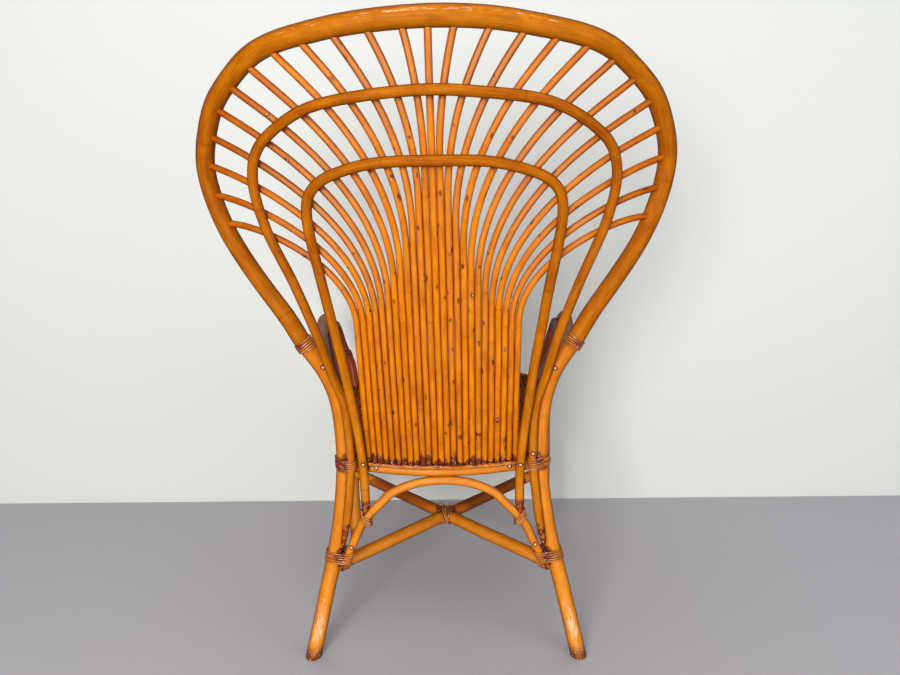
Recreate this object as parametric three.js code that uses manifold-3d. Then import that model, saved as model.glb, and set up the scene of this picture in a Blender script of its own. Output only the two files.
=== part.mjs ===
// A rattan peacock chair: a fan of canes held in bent pole hoops, over a woven seat.
// Millimetres, +Z up, the front faces -Y, so the chair's own left side is +X.
import * as THREE from "three";
import { mergeVertices } from "three/addons/utils/BufferGeometryUtils.js";
import Module from "manifold-3d";

const wasm = await Module();
wasm.setup();

// Clearance between pieces that touch.
const gap = 0.3;

// Diameters of the poles and canes.
const hoopDiameter = 33;
const frontPoleDiameter = 32;
const innerArmDiameter = 22;
const middleHoopDiameter = 18;
const innerHoopDiameter = 18.6;
const railDiameter = 20;
const caneDiameter = 11.9;
const seatHoopDiameter = 25;
const archDiameter = 18;
const stretcherDiameter = 28;

// The fan: a leaning surface, wrapped round the sitter, on which the canes lie.
const railHeight = 418;
const railBow = 4;
const backDepth = 176;
const fanRadius = 650;
const fanLeanDegrees = 10;
const fanTop = 1224;
const fanHalfWidth = 421;
const middleHoopTop = 1121;
const middleHoopHalfWidth = 313;
const innerHoopTop = 1017;
const innerHoopHalfWidth = 218;
const canesPerSide = 12;
const canePitch = 12.3;
const caneEndPitch = 56;
const firstCaneShare = 0.75;
const outerCaneBendHeight = 731;
const centreCaneBendHeight = 1057;
const trimHeight = 7;
const trimDepth = 4;

// Rear legs, on the pole's axis. The joint with the hoop stands above the arm's rear end.
const jointRise = 83;
const jointHalfSpan = 257;
const waistHalfSpan = 197.5;
const waistDepth = 158;
const rearFootHalfSpan = 283;
const rearFootDepth = 199;

// Seat hoop, on its axis: the rear ends meet the rear legs and the front is rounded.
const seatRearHeight = 400;
const seatFrontHeight = 452;
const seatFrontDepth = 322;
const seatSideHalfWidth = 246;
const seatCornerHalfWidth = 240;
const seatCornerDepth = 247;
const seatThickness = 5;
const seatOverhang = 9;
const wrapThickness = 4;
const wrapHalfSpan = 205;

// Front poles: each is a front leg and an arm in one bend, which rises above the seat front.
const frontFootSplay = 4;
const frontFootForward = 8;
const armRise = 182;
const armRearDrop = 34;
const armHalfSpan = 309;
const armCrestDepth = 258;
const armInnerDropDegrees = 25;

// Stretchers, arches and the cane lashings.
const stretcherHeight = 200;
const strandDiameter = 4;
const strandPitch = 4.7;
const strandClearance = 0.4;
const strandSides = 5;
const loopSteps = 10;
const contactSteps = 180;
const lashingTurns = 4;
const hiddenLashingTurns = 3;

const armCrestHeight = seatFrontHeight + armRise;
const armRearHeight = armCrestHeight - armRearDrop;
const jointHeight = armRearHeight + jointRise;
const fanSlope = Math.tan(THREE.MathUtils.degToRad(fanLeanDegrees));
const strandStep = strandDiameter + gap;
const hoopRadius = hoopDiameter / 2;
const archRadius = archDiameter / 2;
const frontPoleRadius = frontPoleDiameter / 2;
const archFootHeight = stretcherHeight + stretcherDiameter / 2 + strandStep;
const lowerLashingHeight = archFootHeight + strandStep + (lashingTurns * strandPitch) / 2;
const floorBlockSize = 2 * fanTop;

const finishes = {
  pole: { color: 0xc9700a, roughness: 0.35, metalness: 0 },
  cane: { color: 0xe08420, roughness: 0.35, metalness: 0 },
  lashing: { color: 0xc8742a, roughness: 0.45, metalness: 0 },
  weave: { color: 0x6b3f14, roughness: 0.6, metalness: 0 },
};

const vector = (x, y, z) => new THREE.Vector3(x, y, z);
const between = THREE.MathUtils.lerp;

// A smooth curve through points, measured finely along its length.
function smooth(points) {
  const curve = new THREE.CatmullRomCurve3(points, false, "centripetal");
  curve.arcLengthDivisions = 600;
  return curve;
}

// The part of a curve between two shares of its length.
class Stretch extends THREE.Curve {
  constructor(base, from, to) {
    super();
    this.base = base;
    this.from = from;
    this.to = to;
  }
  getPoint(share, target = vector(0, 0, 0)) {
    return target.copy(this.base.getPointAt(between(this.from, this.to, share)));
  }
}

// A route that passes straight from point to point, one step for each.
class Route extends THREE.Curve {
  constructor(points) {
    super();
    this.points = points;
  }
  getPoint(share, target = vector(0, 0, 0)) {
    const place = share * (this.points.length - 1);
    const first = Math.min(Math.floor(place), this.points.length - 2);
    return target.lerpVectors(this.points[first], this.points[first + 1], place - first);
  }
  getPointAt(share, target) {
    return this.getPoint(share, target);
  }
  getTangentAt(share, target) {
    return this.getTangent(share, target);
  }
}

// The share of a curve's length, between low and high, where a rising measure is reached.
function shareWhere(curve, measure, value, low, high) {
  let [start, end] = [low, high];
  for (let i = 0; i < 40; i++) {
    const middle = (start + end) / 2;
    if (measure(curve.getPointAt(middle)) < value) start = middle;
    else end = middle;
  }
  return (start + end) / 2;
}

// Solids: a closed geometry as a manifold, and back.
function solidOf(geometry) {
  const bare = geometry.clone();
  bare.deleteAttribute("normal");
  bare.deleteAttribute("uv");
  const merged = mergeVertices(bare);
  return new wasm.Manifold(
    new wasm.Mesh({
      numProp: 3,
      vertProperties: merged.attributes.position.array,
      triVerts: new Uint32Array(merged.index.array),
    }),
  );
}

function geometryOf(solid) {
  const mesh = solid.getMesh();
  const geometry = new THREE.BufferGeometry();
  geometry.setAttribute("position", new THREE.BufferAttribute(mesh.vertProperties.slice(), 3));
  geometry.setIndex(new THREE.BufferAttribute(mesh.triVerts.slice(), 1));
  return geometry;
}

// The same solid on the other side of the chair.
function mirrored(solid) {
  const geometry = geometryOf(solid);
  const place = geometry.attributes.position;
  for (let i = 0; i < place.count; i++) place.setX(i, -place.getX(i));
  const corners = geometry.index.array;
  for (let i = 0; i < corners.length; i += 3) {
    [corners[i], corners[i + 1]] = [corners[i + 1], corners[i]];
  }
  return solidOf(geometry);
}

// A solid less its neighbours; a cut's loose crumbs go, the main body stays.
function cutBy(solid, neighbours) {
  const left = neighbours.reduce((rest, neighbour) => rest.subtract(neighbour), solid);
  const bodies = left.decompose();
  return bodies.reduce((most, body) => (body.volume() > most.volume() ? body : most));
}

function circle(radius, sides) {
  return Array.from({ length: sides }, (_, i) => {
    const angle = (2 * Math.PI * i) / sides;
    return new THREE.Vector2(radius * Math.cos(angle), radius * Math.sin(angle));
  });
}

function sweep(outline, curve, steps) {
  const options = { extrudePath: curve, steps, bevelEnabled: false };
  return solidOf(new THREE.ExtrudeGeometry(new THREE.Shape(outline), options));
}

// A pole along a curve, with the space that its neighbours keep clear of.
function makePole(curve, diameter, sides, steps) {
  const radius = diameter / 2;
  return {
    curve,
    radius,
    axis: curve.getSpacedPoints(steps),
    body: sweep(circle(radius, sides), curve, steps),
    keepOut: sweep(circle(radius + gap, sides), curve, steps),
  };
}

const bothSides = (solid) => [solid, mirrored(solid)];
const mirroredPoint = (point) => vector(-point.x, point.y, point.z);

// A point of the fan surface, or of one that lies behind it.
function fanPoint(x, z, behind = 0) {
  const y = backDepth + (z - railHeight) * fanSlope - (x * x) / (2 * fanRadius);
  const steepness = Math.hypot(x / fanRadius, 1, fanSlope);
  return vector(x, y + behind * steepness, z);
}

// The floor, which cuts every foot flat.
const floorBlock = solidOf(
  new THREE.BoxGeometry(floorBlockSize, floorBlockSize, floorBlockSize).translate(
    0,
    0,
    -floorBlockSize / 2,
  ),
);

// Rear frame: one smooth line from foot to foot, sawn into two legs and the outer hoop.
// Leg shares: how far out from the waist, then height as a share of the joint's height.
const legLowerShares = [[1, 0], [0.66, 0.18], [0.23, 0.41], [0.04, 0.57], [0, 0.71]];
const legUpperShares = [[0.09, 0.823], [0.27, 0.885], [0.6, 0.947]];
// Hoop shares: half width, then rise from the joint to the top.
const hoopShares = [
  [0.67, 0.084], [0.793, 0.22], [0.907, 0.355], [0.97, 0.47], [1, 0.59],
  [0.985, 0.67], [0.905, 0.8], [0.815, 0.865], [0.66, 0.94], [0.35, 0.984],
];

function rearFrameCurve() {
  const joint = fanPoint(jointHalfSpan, jointHeight);
  const waist = vector(waistHalfSpan, waistDepth, 0);
  const foot = vector(rearFootHalfSpan, rearFootDepth, 0);
  const lower = legLowerShares.map(([out, up]) =>
    waist.clone().lerp(foot, out).setZ(up * jointHeight),
  );
  const upper = legUpperShares.map(([out, up]) =>
    waist.clone().lerp(joint, out).setZ(up * jointHeight),
  );
  const buried = lower[0].clone().lerp(lower[1], -0.2);
  const hoop = hoopShares.map(([wide, up]) =>
    fanPoint(wide * fanHalfWidth, between(jointHeight, fanTop, up)),
  );
  const half = [buried, ...lower, ...upper, joint, ...hoop];
  return smooth([...half, fanPoint(0, fanTop), ...half.map(mirroredPoint).reverse()]);
}

const rearFrame = rearFrameCurve();
const rearFrameLength = rearFrame.getLength();
const sawCut = gap / 2 / rearFrameLength;
const jointShare = shareWhere(rearFrame, (p) => p.z, jointHeight, 0, 0.4);
const legCurve = new Stretch(rearFrame, 0, jointShare - sawCut);
const hoopCurve = new Stretch(rearFrame, jointShare + sawCut, 1 - jointShare - sawCut);
const rearLeg = makePole(legCurve, hoopDiameter, 12, 12);
const outerHoop = makePole(hoopCurve, hoopDiameter, 12, 36);
rearLeg.body = cutBy(rearLeg.body, [floorBlock]);

// A point beside the rear leg: at a height, in a direction seen from above, for a given pole.
function besideLeg(leg, height, direction, radius) {
  const share = shareWhere(leg.curve, (p) => p.z, height, 0, leg.topShare ?? 1);
  const along = leg.curve.getTangentAt(share);
  const aside = vector(direction[0], direction[1], 0);
  aside.addScaledVector(along, -aside.dot(along)).setLength(leg.radius + radius + 2 * gap);
  return leg.curve.getPointAt(share).add(aside);
}

// Rail across the foot of the fan: it follows the fan under the canes, then meets the legs,
// where it stands highest.
const railEndHeight = railHeight + railBow;

function railHeightAt(x) {
  return railHeight + railBow * (x / waistHalfSpan) ** 2;
}

function railCurve() {
  const reach = canesPerSide * canePitch;
  const legPoint = legCurve.getPointAt(shareWhere(legCurve, (p) => p.z, railEndHeight, 0, 1));
  const half = [legPoint, ...[reach, reach / 2].map((x) => fanPoint(x, railHeightAt(x)))];
  return smooth([
    ...half,
    fanPoint(0, railHeight),
    ...half.map(mirroredPoint).reverse(),
  ]);
}

const rail = makePole(railCurve(), railDiameter, 10, 12);
rail.body = cutBy(rail.body, bothSides(rearLeg.keepOut));

// Middle hoop: behind the canes above the joint, then down the back of each leg.
const middleHoopShares = [
  [0.703, 0.03], [0.741, 0.119], [0.83, 0.288], [0.965, 0.527], [1, 0.7],
  [0.955, 0.81], [0.81, 0.895], [0.62, 0.957], [0.34, 0.987],
];
const besideLegShares = [0.64, 0.755, 0.83, 0.9];
const middleHoopRadius = middleHoopDiameter / 2;
const middleHoopSide = [-0.6, 0.8];

function middleHoopCurve() {
  const behind = caneDiameter / 2 + middleHoopRadius + 2 * gap;
  const lowest = between(archFootHeight, railHeight, 0.22);
  const heights = [
    lowest,
    between(archFootHeight, railHeight, 0.6),
    ...besideLegShares.map((share) => share * jointHeight),
  ];
  const beside = heights.map((height) =>
    besideLeg(rearLeg, height, middleHoopSide, middleHoopRadius),
  );
  const fan = middleHoopShares.map(([wide, up]) =>
    fanPoint(wide * middleHoopHalfWidth, between(jointHeight, middleHoopTop, up), behind),
  );
  const half = [...beside, ...fan];
  return smooth([
    ...half,
    fanPoint(0, middleHoopTop, behind),
    ...half.map(mirroredPoint).reverse(),
  ]);
}

// Rear arch: from leg to leg, its crown close under the rail.
// Arch shares: half span, then rise from the foot to the crown.
const archShares = [[1, 0], [0.9, 0.231], [0.78, 0.52], [0.6, 0.737], [0.5, 0.85], [0.26, 0.965]];
const rearArchSide = [-0.85, 0.5];
const sideArchSide = [0.12, -1];

function archCurve(foot, crown) {
  const half = archShares.map(([wide, up]) =>
    vector(wide * foot.x, between(crown.y, foot.y, wide * wide), between(foot.z, crown.z, up)),
  );
  return smooth([...half, crown, ...half.map(mirroredPoint).reverse()]);
}

const rearArchFoot = besideLeg(rearLeg, archFootHeight, rearArchSide, archRadius);
const rearArchCrown = fanPoint(0, railHeight - rail.radius - gap - archRadius)
  .setY(backDepth);
const rearArch = makePole(archCurve(rearArchFoot, rearArchCrown), archDiameter, 8, 18);
rearArch.body = cutBy(rearArch.body, [...bothSides(rearLeg.keepOut), rail.keepOut]);

const middleHoop = makePole(middleHoopCurve(), middleHoopDiameter, 8, 42);
middleHoop.body = cutBy(middleHoop.body, [rearArch.keepOut]);

// Inner hoop: behind the canes and the rail, its ends scarfed on to the rear arch.
// Inner hoop shares: half width, then rise from the rail to the top.
const innerHoopShares = [
  [0.718, 0], [0.727, 0.07], [0.75, 0.165], [0.78, 0.26], [0.825, 0.4], [0.88, 0.53], [0.93, 0.655],
  [0.98, 0.77], [1, 0.853], [0.975, 0.91], [0.87, 0.95], [0.68, 0.977], [0.42, 0.996],
];
const firstFreeShare = 0.1;
const innerHoopRadius = innerHoopDiameter / 2;

function innerHoopCurve() {
  const behindCanes = caneDiameter / 2 + innerHoopRadius + 2 * gap;
  const behindRail = rail.radius + innerHoopRadius + gap;
  const half = innerHoopShares.map(([wide, up], i) =>
    fanPoint(
      wide * innerHoopHalfWidth,
      between(railHeight, innerHoopTop, up),
      up < firstFreeShare ? behindRail : behindCanes,
    ),
  );
  const landing = half[0].x;
  const archShare = shareWhere(rearArch.curve, (p) => -p.x, -landing, 0, 0.5);
  const end = rearArch.curve.getPointAt(archShare);
  return smooth([
    end,
    ...half,
    fanPoint(0, innerHoopTop, behindCanes),
    ...half.map(mirroredPoint).reverse(),
    mirroredPoint(end),
  ]);
}

const innerHoop = makePole(innerHoopCurve(), innerHoopDiameter, 8, 38);
innerHoop.body = cutBy(innerHoop.body, [rearArch.keepOut, rail.keepOut]);

// Canes: upright and packed from the rail, then bent out to evenly spaced ends on the outer
// hoop. The outer canes leave the row first, and lean out furthest.
const bendFallPower = 2;
const caneLeanDegrees = 43;
const caneLeanGainDegrees = 60;
const lowHandleShares = [0.58, 0.41];
const highHandleShares = [0.02, 0.18];
const caneSteps = 8;

function caneCurve(index) {
  const share = index / canesPerSide;
  const foot = index * canePitch;
  const endReach = index ? (index - 1 + firstCaneShare) * caneEndPitch : 0;
  const endShare = 0.5 - endReach / rearFrameLength;
  const hoopPoint = rearFrame.getPointAt(endShare);
  const bendHeight = between(
    outerCaneBendHeight,
    centreCaneBendHeight,
    (1 - share) ** bendFallPower,
  );
  const start = new THREE.Vector2(foot, bendHeight);
  const end = new THREE.Vector2(hoopPoint.x, hoopPoint.z);
  const span = start.distanceTo(end);
  const lean = THREE.MathUtils.degToRad(
    caneLeanDegrees * share + caneLeanGainDegrees * share * share,
  );
  const lowHandle = new THREE.Vector2(0, span * between(...lowHandleShares, share));
  const highHandle = new THREE.Vector2(Math.sin(lean), Math.cos(lean));
  highHandle.multiplyScalar(span * between(...highHandleShares, share));
  const bend = new THREE.CubicBezierCurve(
    start,
    start.clone().add(lowHandle),
    end.clone().sub(highHandle),
    end,
  );
  const steps = index > 3 ? caneSteps : caneSteps / 2;
  return new Route([
    fanPoint(foot, railHeight),
    ...bend.getPoints(steps).map((p) => fanPoint(p.x, p.y)),
  ]);
}

function cane(index) {
  const curve = caneCurve(index);
  const pole = makePole(curve, caneDiameter, 6, curve.points.length - 1);
  return cutBy(pole.body, [rail.keepOut, outerHoop.keepOut]);
}

// Trim: a half-round strip over the feet of the canes, on the rail's top rear edge.
function trim() {
  const reach = (canesPerSide + 0.3) * canePitch;
  const height = railHeight + rail.radius + gap + trimHeight / 2;
  const standOff = caneDiameter / 2 + 2 * gap + (trimHeight / 2) * fanSlope;
  const places = [-1, -0.5, 0, 0.5, 1];
  const route = smooth(
    places.map((share) => {
      const rise = railHeightAt(share * reach) - railHeight;
      return fanPoint(share * reach, height + rise, standOff);
    }),
  );
  const outline = Array.from({ length: 6 }, (_, i) => {
    const angle = (Math.PI * i) / 5;
    return new THREE.Vector2((trimHeight / 2) * Math.cos(angle), trimDepth * Math.sin(angle));
  });
  return cutBy(sweep(outline, route, 10), [rail.keepOut]);
}

// Seat hoop: from one rear leg round the front to the other, rising to the front.
const seatSideShares = [[0.08, 0.13], [0.5, 0.4], [0.9, 0.66], [1, 0.85]];
const seatFrontShares = [[0.87, 0.52], [0.5, 0.9]];

function seatHeight(y) {
  const share = (waistDepth - y) / (waistDepth + seatFrontDepth);
  return between(seatRearHeight, seatFrontHeight, share);
}

function seatHoopCurve() {
  const share = shareWhere(legCurve, (p) => p.z, seatRearHeight, 0, 1);
  const rear = legCurve.getPointAt(share);
  const onSeat = (x, y) => vector(x, y, seatHeight(y));
  const sides = seatSideShares.map(([out, forward]) =>
    onSeat(between(rear.x, seatSideHalfWidth, out), between(rear.y, -seatCornerDepth, forward)),
  );
  const corner = onSeat(seatCornerHalfWidth, -seatCornerDepth);
  const fronts = seatFrontShares.map(([wide, forward]) =>
    onSeat(
      wide * seatCornerHalfWidth,
      between(-seatCornerDepth, -seatFrontDepth, forward),
    ),
  );
  const half = [onSeat(rear.x, rear.y), ...sides, corner, ...fronts];
  return smooth([...half, onSeat(0, -seatFrontDepth), ...half.map(mirroredPoint).reverse()]);
}

const seatHoop = makePole(seatHoopCurve(), seatHoopDiameter, 10, 30);
seatHoop.body = cutBy(seatHoop.body, [...bothSides(rearLeg.keepOut), rail.keepOut]);

// Front poles: from the foot, past the seat hoop's corner, round the arm to the rear leg.
const legByCornerDirection = vector(0.8, -0.6, 0);
// Arm bend shares: outwards to the crest's half span, forwards by a diameter, and upwards.
const armBendShares = [[0.22, 0.4, 0.35], [0.55, 0.75, 0.62], [0.85, 0.8, 0.86], [0.97, 0.2, 0.97]];
// Arm shares: from the crest's half span to the rear leg, and from its depth to the leg.
const armShares = [[0.06, 0.14], [0.22, 0.36], [0.5, 0.62], [0.8, 0.86]];

function frontPoleCurve() {
  const corner = vector(seatCornerHalfWidth, -seatCornerDepth, seatHeight(-seatCornerDepth));
  const reach = frontPoleRadius + seatHoop.radius + gap;
  const bySeat = corner.clone().addScaledVector(legByCornerDirection, reach);
  const foot = vector(bySeat.x + frontFootSplay, bySeat.y - frontFootForward, 0);
  const knee = foot.clone().lerp(bySeat, 0.5).setX(bySeat.x);
  const crest = vector(armHalfSpan, -armCrestDepth, armCrestHeight);
  const rise = (wide, forward, up) =>
    vector(
      between(bySeat.x, crest.x, wide),
      between(bySeat.y, bySeat.y - frontPoleDiameter, forward),
      between(bySeat.z, crest.z, up),
    );
  const rear = legCurve.getPointAt(shareWhere(legCurve, (p) => p.z, armRearHeight, 0, 1));
  const arm = armShares.map(([inward, back]) =>
    vector(
      between(crest.x, rear.x, inward),
      between(crest.y, rear.y, back),
      between(crest.z, rear.z, back),
    ),
  );
  const buried = foot.clone().lerp(knee, -0.2);
  const bend = armBendShares.map((shares) => rise(...shares));
  return smooth([buried, foot, knee, bySeat, ...bend, crest, ...arm, rear]);
}

const frontPole = makePole(frontPoleCurve(), frontPoleDiameter, 10, 30);
frontPole.body = cutBy(frontPole.body, [floorBlock, rearLeg.keepOut]);
frontPole.topShare = 0.5;

// Inner arm: a thinner pole beside the arm, a little lower, down to the seat hoop's corner.
const innerArmStartShare = 0.995;
const innerArmEndHeightShare = 0.1;

function innerArmCurve() {
  const reach = frontPoleRadius + innerArmDiameter / 2 + gap;
  const drop = THREE.MathUtils.degToRad(armInnerDropDegrees);
  const corner = vector(seatCornerHalfWidth, -seatCornerDepth, seatHeight(-seatCornerDepth));
  const low = between(corner.z, armCrestHeight, innerArmEndHeightShare);
  const lowShare = shareWhere(frontPole.curve, (p) => p.z, low, 0, 0.55);
  const points = Array.from({ length: 15 }, (_, i) => {
    const share = between(innerArmStartShare, lowShare, i / 14);
    const along = frontPole.curve.getTangentAt(share);
    const inward = vector(0, 0, 1).cross(along);
    const steep = inward.length();
    const side = legByCornerDirection.clone().negate();
    side.lerp(inward.normalize(), THREE.MathUtils.smoothstep(steep, 0.3, 0.9));
    side.addScaledVector(along, -side.dot(along)).normalize();
    const down = along.clone().cross(side).normalize();
    if (down.z > 0) down.negate();
    const turned = side.multiplyScalar(Math.cos(drop * steep));
    turned.addScaledVector(down, Math.sin(drop * steep));
    return frontPole.curve.getPointAt(share).addScaledVector(turned, reach);
  });
  return smooth([...points, corner]);
}

const innerArm = makePole(innerArmCurve(), innerArmDiameter, 8, 20);
innerArm.body = cutBy(innerArm.body, [
  rearLeg.keepOut,
  frontPole.keepOut,
  seatHoop.keepOut,
  middleHoop.keepOut,
]);

// Front wrap: a sleeve of cane round the seat hoop's front, between the legs.
const wrapStartShare = shareWhere(seatHoop.curve, (p) => -p.x, -wrapHalfSpan, 0.25, 0.5);
const wrapCurve = new Stretch(seatHoop.curve, wrapStartShare, 1 - wrapStartShare);
const wrap = makePole(wrapCurve, seatHoopDiameter + 2 * (gap + wrapThickness), 10, 12);
wrap.body = cutBy(wrap.body, [seatHoop.keepOut]);

// Woven seat: a mat on the seat hoop and its front wrap, let in to the rail's front.
function seatPanel() {
  const outline = seatHoop.curve.getSpacedPoints(30).map((point, i, all) => {
    const ahead = all[Math.min(i + 1, all.length - 1)];
    const back = all[Math.max(i - 1, 0)];
    const outward = new THREE.Vector2(back.y - ahead.y, ahead.x - back.x).normalize();
    return new THREE.Vector2(point.x, point.y).addScaledVector(outward, seatOverhang);
  });
  const rearEdge = rail.curve.getSpacedPoints(12).map((p) => new THREE.Vector2(p.x, p.y));
  const options = { depth: seatThickness, bevelEnabled: false };
  const shape = new THREE.Shape([...outline, ...rearEdge.reverse()]);
  const slab = new THREE.ExtrudeGeometry(shape, options);
  const place = slab.attributes.position;
  for (let i = 0; i < place.count; i++) {
    place.setZ(i, place.getZ(i) + seatHeight(place.getY(i)) + seatHoop.radius + gap);
  }
  return cutBy(solidOf(slab), [
    ...bothSides(rearLeg.keepOut),
    ...bothSides(frontPole.keepOut),
    ...bothSides(innerArm.keepOut),
    rail.keepOut,
    wrap.keepOut,
    seatHoop.keepOut,
  ]);
}

// Side and front arches under the seat hoop.
function sideArchCurve() {
  const rear = besideLeg(rearLeg, archFootHeight, sideArchSide, archRadius);
  const front = besideLeg(frontPole, archFootHeight, [0, 1], archRadius);
  const crownShare = shareWhere(seatHoop.curve, (p) => -p.y, seatCornerDepth / 4, 0, 0.3);
  const crown = seatHoop.curve.getPointAt(crownShare);
  crown.z -= seatHoop.radius + archRadius + gap;
  const hoopAt = (y) =>
    seatHoop.curve.getPointAt(shareWhere(seatHoop.curve, (p) => -p.y, -y, 0, 0.35));
  const side = (foot) =>
    [[1, 0], [0.97, 0.3], [0.86, 0.62], [0.62, 0.87], [0.3, 0.97]].map(([out, up]) => {
      const y = between(crown.y, foot.y, out);
      return vector(between(foot.x, hoopAt(y).x, up), y, between(foot.z, crown.z, up));
    });
  return smooth([...side(rear), crown, ...side(front).reverse()]);
}

const sideArch = makePole(sideArchCurve(), archDiameter, 8, 16);
sideArch.body = cutBy(sideArch.body, [rearLeg.keepOut, frontPole.keepOut, seatHoop.keepOut]);

function frontArchCurve() {
  const foot = besideLeg(frontPole, archFootHeight, [-1, 0], archRadius);
  const drop = seatHoop.radius + gap + wrapThickness + gap + archRadius;
  const crown = vector(0, -seatFrontDepth, seatFrontHeight - drop);
  return archCurve(foot, crown);
}

const frontArch = makePole(frontArchCurve(), archDiameter, 8, 18);
frontArch.body = cutBy(frontArch.body, [
  ...bothSides(frontPole.keepOut),
  seatHoop.keepOut,
  wrap.keepOut,
]);

// Stretchers: from each rear leg to the opposite front leg, half lapped where they cross.
function stretcherCurve() {
  const at = (pole) =>
    pole.curve.getPointAt(
      shareWhere(pole.curve, (p) => p.z, stretcherHeight, 0, pole.topShare ?? 1),
    );
  return smooth([at(rearLeg), mirroredPoint(at(frontPole))]);
}

const stretcher = makePole(stretcherCurve(), stretcherDiameter, 12, 3);
const crossShare = shareWhere(stretcher.curve, (p) => -p.x, 0, 0, 1);
const crossing = stretcher.curve.getPointAt(crossShare);

function stretchers() {
  const legs = [rearLeg.keepOut, frontPole.keepOut].flatMap(bothSides);
  const half = new THREE.BoxGeometry(floorBlockSize, floorBlockSize, floorBlockSize);
  const above = solidOf(half.clone().translate(0, 0, stretcherHeight - gap / 2 + floorBlockSize / 2));
  const below = solidOf(half.clone().translate(0, 0, stretcherHeight + gap / 2 - floorBlockSize / 2));
  const other = mirrored(stretcher.keepOut);
  const upper = cutBy(stretcher.body, [...legs, other.intersect(below)]);
  const lower = cutBy(mirrored(stretcher.body), [...legs, stretcher.keepOut.intersect(above)]);
  return [upper, lower];
}

// Lashings. A pole's section in a plane square to the lashing's axis is an ellipse.
function sectionOf(pole, origin, axis) {
  let nearest = null;
  for (let i = 1; i < pole.axis.length; i++) {
    const from = pole.axis[i - 1];
    const to = pole.axis[i];
    const before = from.clone().sub(origin).dot(axis);
    const after = to.clone().sub(origin).dot(axis);
    if (before * after > 0 || before === after) continue;
    const centre = from.clone().lerp(to, before / (before - after));
    const distance = centre.distanceTo(origin);
    if (!nearest || distance < nearest.distance) {
      nearest = { centre, distance, along: to.clone().sub(from).normalize() };
    }
  }
  return nearest;
}

// The point of a pole's section that lies furthest in a direction.
function furthest(section, radius, direction, axis) {
  const slant = section.along.dot(axis);
  const longWay = section.along.clone().addScaledVector(axis, -slant);
  const swell = (radius * radius) / (slant * slant) - radius * radius;
  if (longWay.length() > 1e-6) longWay.normalize();
  const facing = direction.dot(longWay);
  const support = Math.sqrt(radius * radius + swell * facing * facing);
  const offset = direction.clone().multiplyScalar(radius * radius);
  offset.addScaledVector(longWay, swell * facing).divideScalar(support);
  return { bendRadius: radius / (slant * slant), point: section.centre.clone().add(offset) };
}

// Where a tight strand touches the poles: the pole that leads, and the strand's own middle.
function strandContact(poles, level, direction, axis) {
  const seat = strandDiameter / 2 + strandClearance;
  const chord = 1 / Math.cos(Math.PI / loopSteps) - 1;
  const held = poles
    .map((pole) => ({ pole, section: sectionOf(pole, level, axis) }))
    .filter(({ section }) => section)
    .map(({ pole, section }) => ({ pole, ...furthest(section, pole.radius, direction, axis) }))
    .reduce((most, item) =>
      item.point.dot(direction) > most.point.dot(direction) ? item : most,
    );
  held.point.addScaledVector(direction, seat + (held.bendRadius + seat) * chord);
  return held;
}

// One unbroken strand wound round poles: arcs on the poles and straight runs between them.
function windingPoints(poles, origin, axis, turns) {
  const first = vector(0, 0, 1).cross(axis);
  if (first.length() < 0.1) first.set(1, 0, 0);
  first.addScaledVector(axis, -first.dot(axis)).normalize();
  const second = axis.clone().cross(first);
  const contacts = Array.from({ length: turns * contactSteps + 1 }, (_, i) => {
    const angle = (2 * Math.PI * i) / contactSteps;
    const height = (i / contactSteps - turns / 2) * strandPitch;
    const direction = first.clone().multiplyScalar(Math.cos(angle));
    direction.addScaledVector(second, Math.sin(angle));
    const level = origin.clone().addScaledVector(axis, height);
    return strandContact(poles, level, direction, axis);
  });
  const points = [];
  let start = 0;
  for (let i = 1; i <= contacts.length; i++) {
    if (contacts[i]?.pole === contacts[start].pole) continue;
    const arc = i - 1 - start;
    const chords = Math.ceil((arc * loopSteps) / contactSteps);
    for (let j = 0; j <= chords; j++) {
      const place = start + (arc * j) / Math.max(chords, 1);
      points.push(contacts[Math.round(place)].point);
    }
    start = i;
  }
  const tail = (end, next) =>
    end.clone().addScaledVector(end.clone().sub(next).normalize(), strandDiameter);
  return [tail(points[0], points[1]), ...points, tail(points.at(-1), points.at(-2))];
}

// The least clear distance of a winding to its own neighbouring turns.
function leastGap(points, turns) {
  const fine = points.slice(1).flatMap((point, i) => {
    const count = Math.ceil((points[i].distanceTo(point) * 8) / strandDiameter);
    return Array.from({ length: count }, (_, j) => points[i].clone().lerp(point, j / count));
  });
  const apart = Math.round(fine.length / turns / 2);
  let least = Infinity;
  for (let i = 0; i < fine.length; i++) {
    for (let j = i + apart; j < fine.length; j++) {
      least = Math.min(least, fine[i].distanceTo(fine[j]));
    }
  }
  return least - strandDiameter;
}

const windingGaps = [];

function lashing(poles, origin, axis, turns) {
  const points = windingPoints(poles, origin, axis, turns);
  windingGaps.push(leastGap(points, turns));
  return sweep(circle(strandDiameter / 2, strandSides), new Route(points), points.length - 1);
}

// A level lashing round poles, at a height of the first one.
function lashingAt(poles, height, turns) {
  const [leader] = poles;
  const share = shareWhere(leader.curve, (p) => p.z, height, 0, leader.topShare ?? 1);
  return lashing(poles, leader.curve.getPointAt(share), vector(0, 0, 1), turns);
}

function jointLashing() {
  const pole = { axis: rearFrame.getSpacedPoints(120), radius: hoopRadius };
  const axis = rearFrame.getTangentAt(jointShare);
  return lashing([pole], rearFrame.getPointAt(jointShare), axis, lashingTurns);
}

function railLashing() {
  const height = railEndHeight + rail.radius + strandStep + (lashingTurns * strandPitch) / 2;
  return lashingAt([rearLeg, middleHoop], height, lashingTurns);
}

function rearLowerLashing() {
  return lashingAt([rearLeg, rearArch, sideArch], lowerLashingHeight, lashingTurns);
}

function frontLowerLashing() {
  return lashingAt([frontPole, frontArch, sideArch], lowerLashingHeight, hiddenLashingTurns);
}

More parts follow.
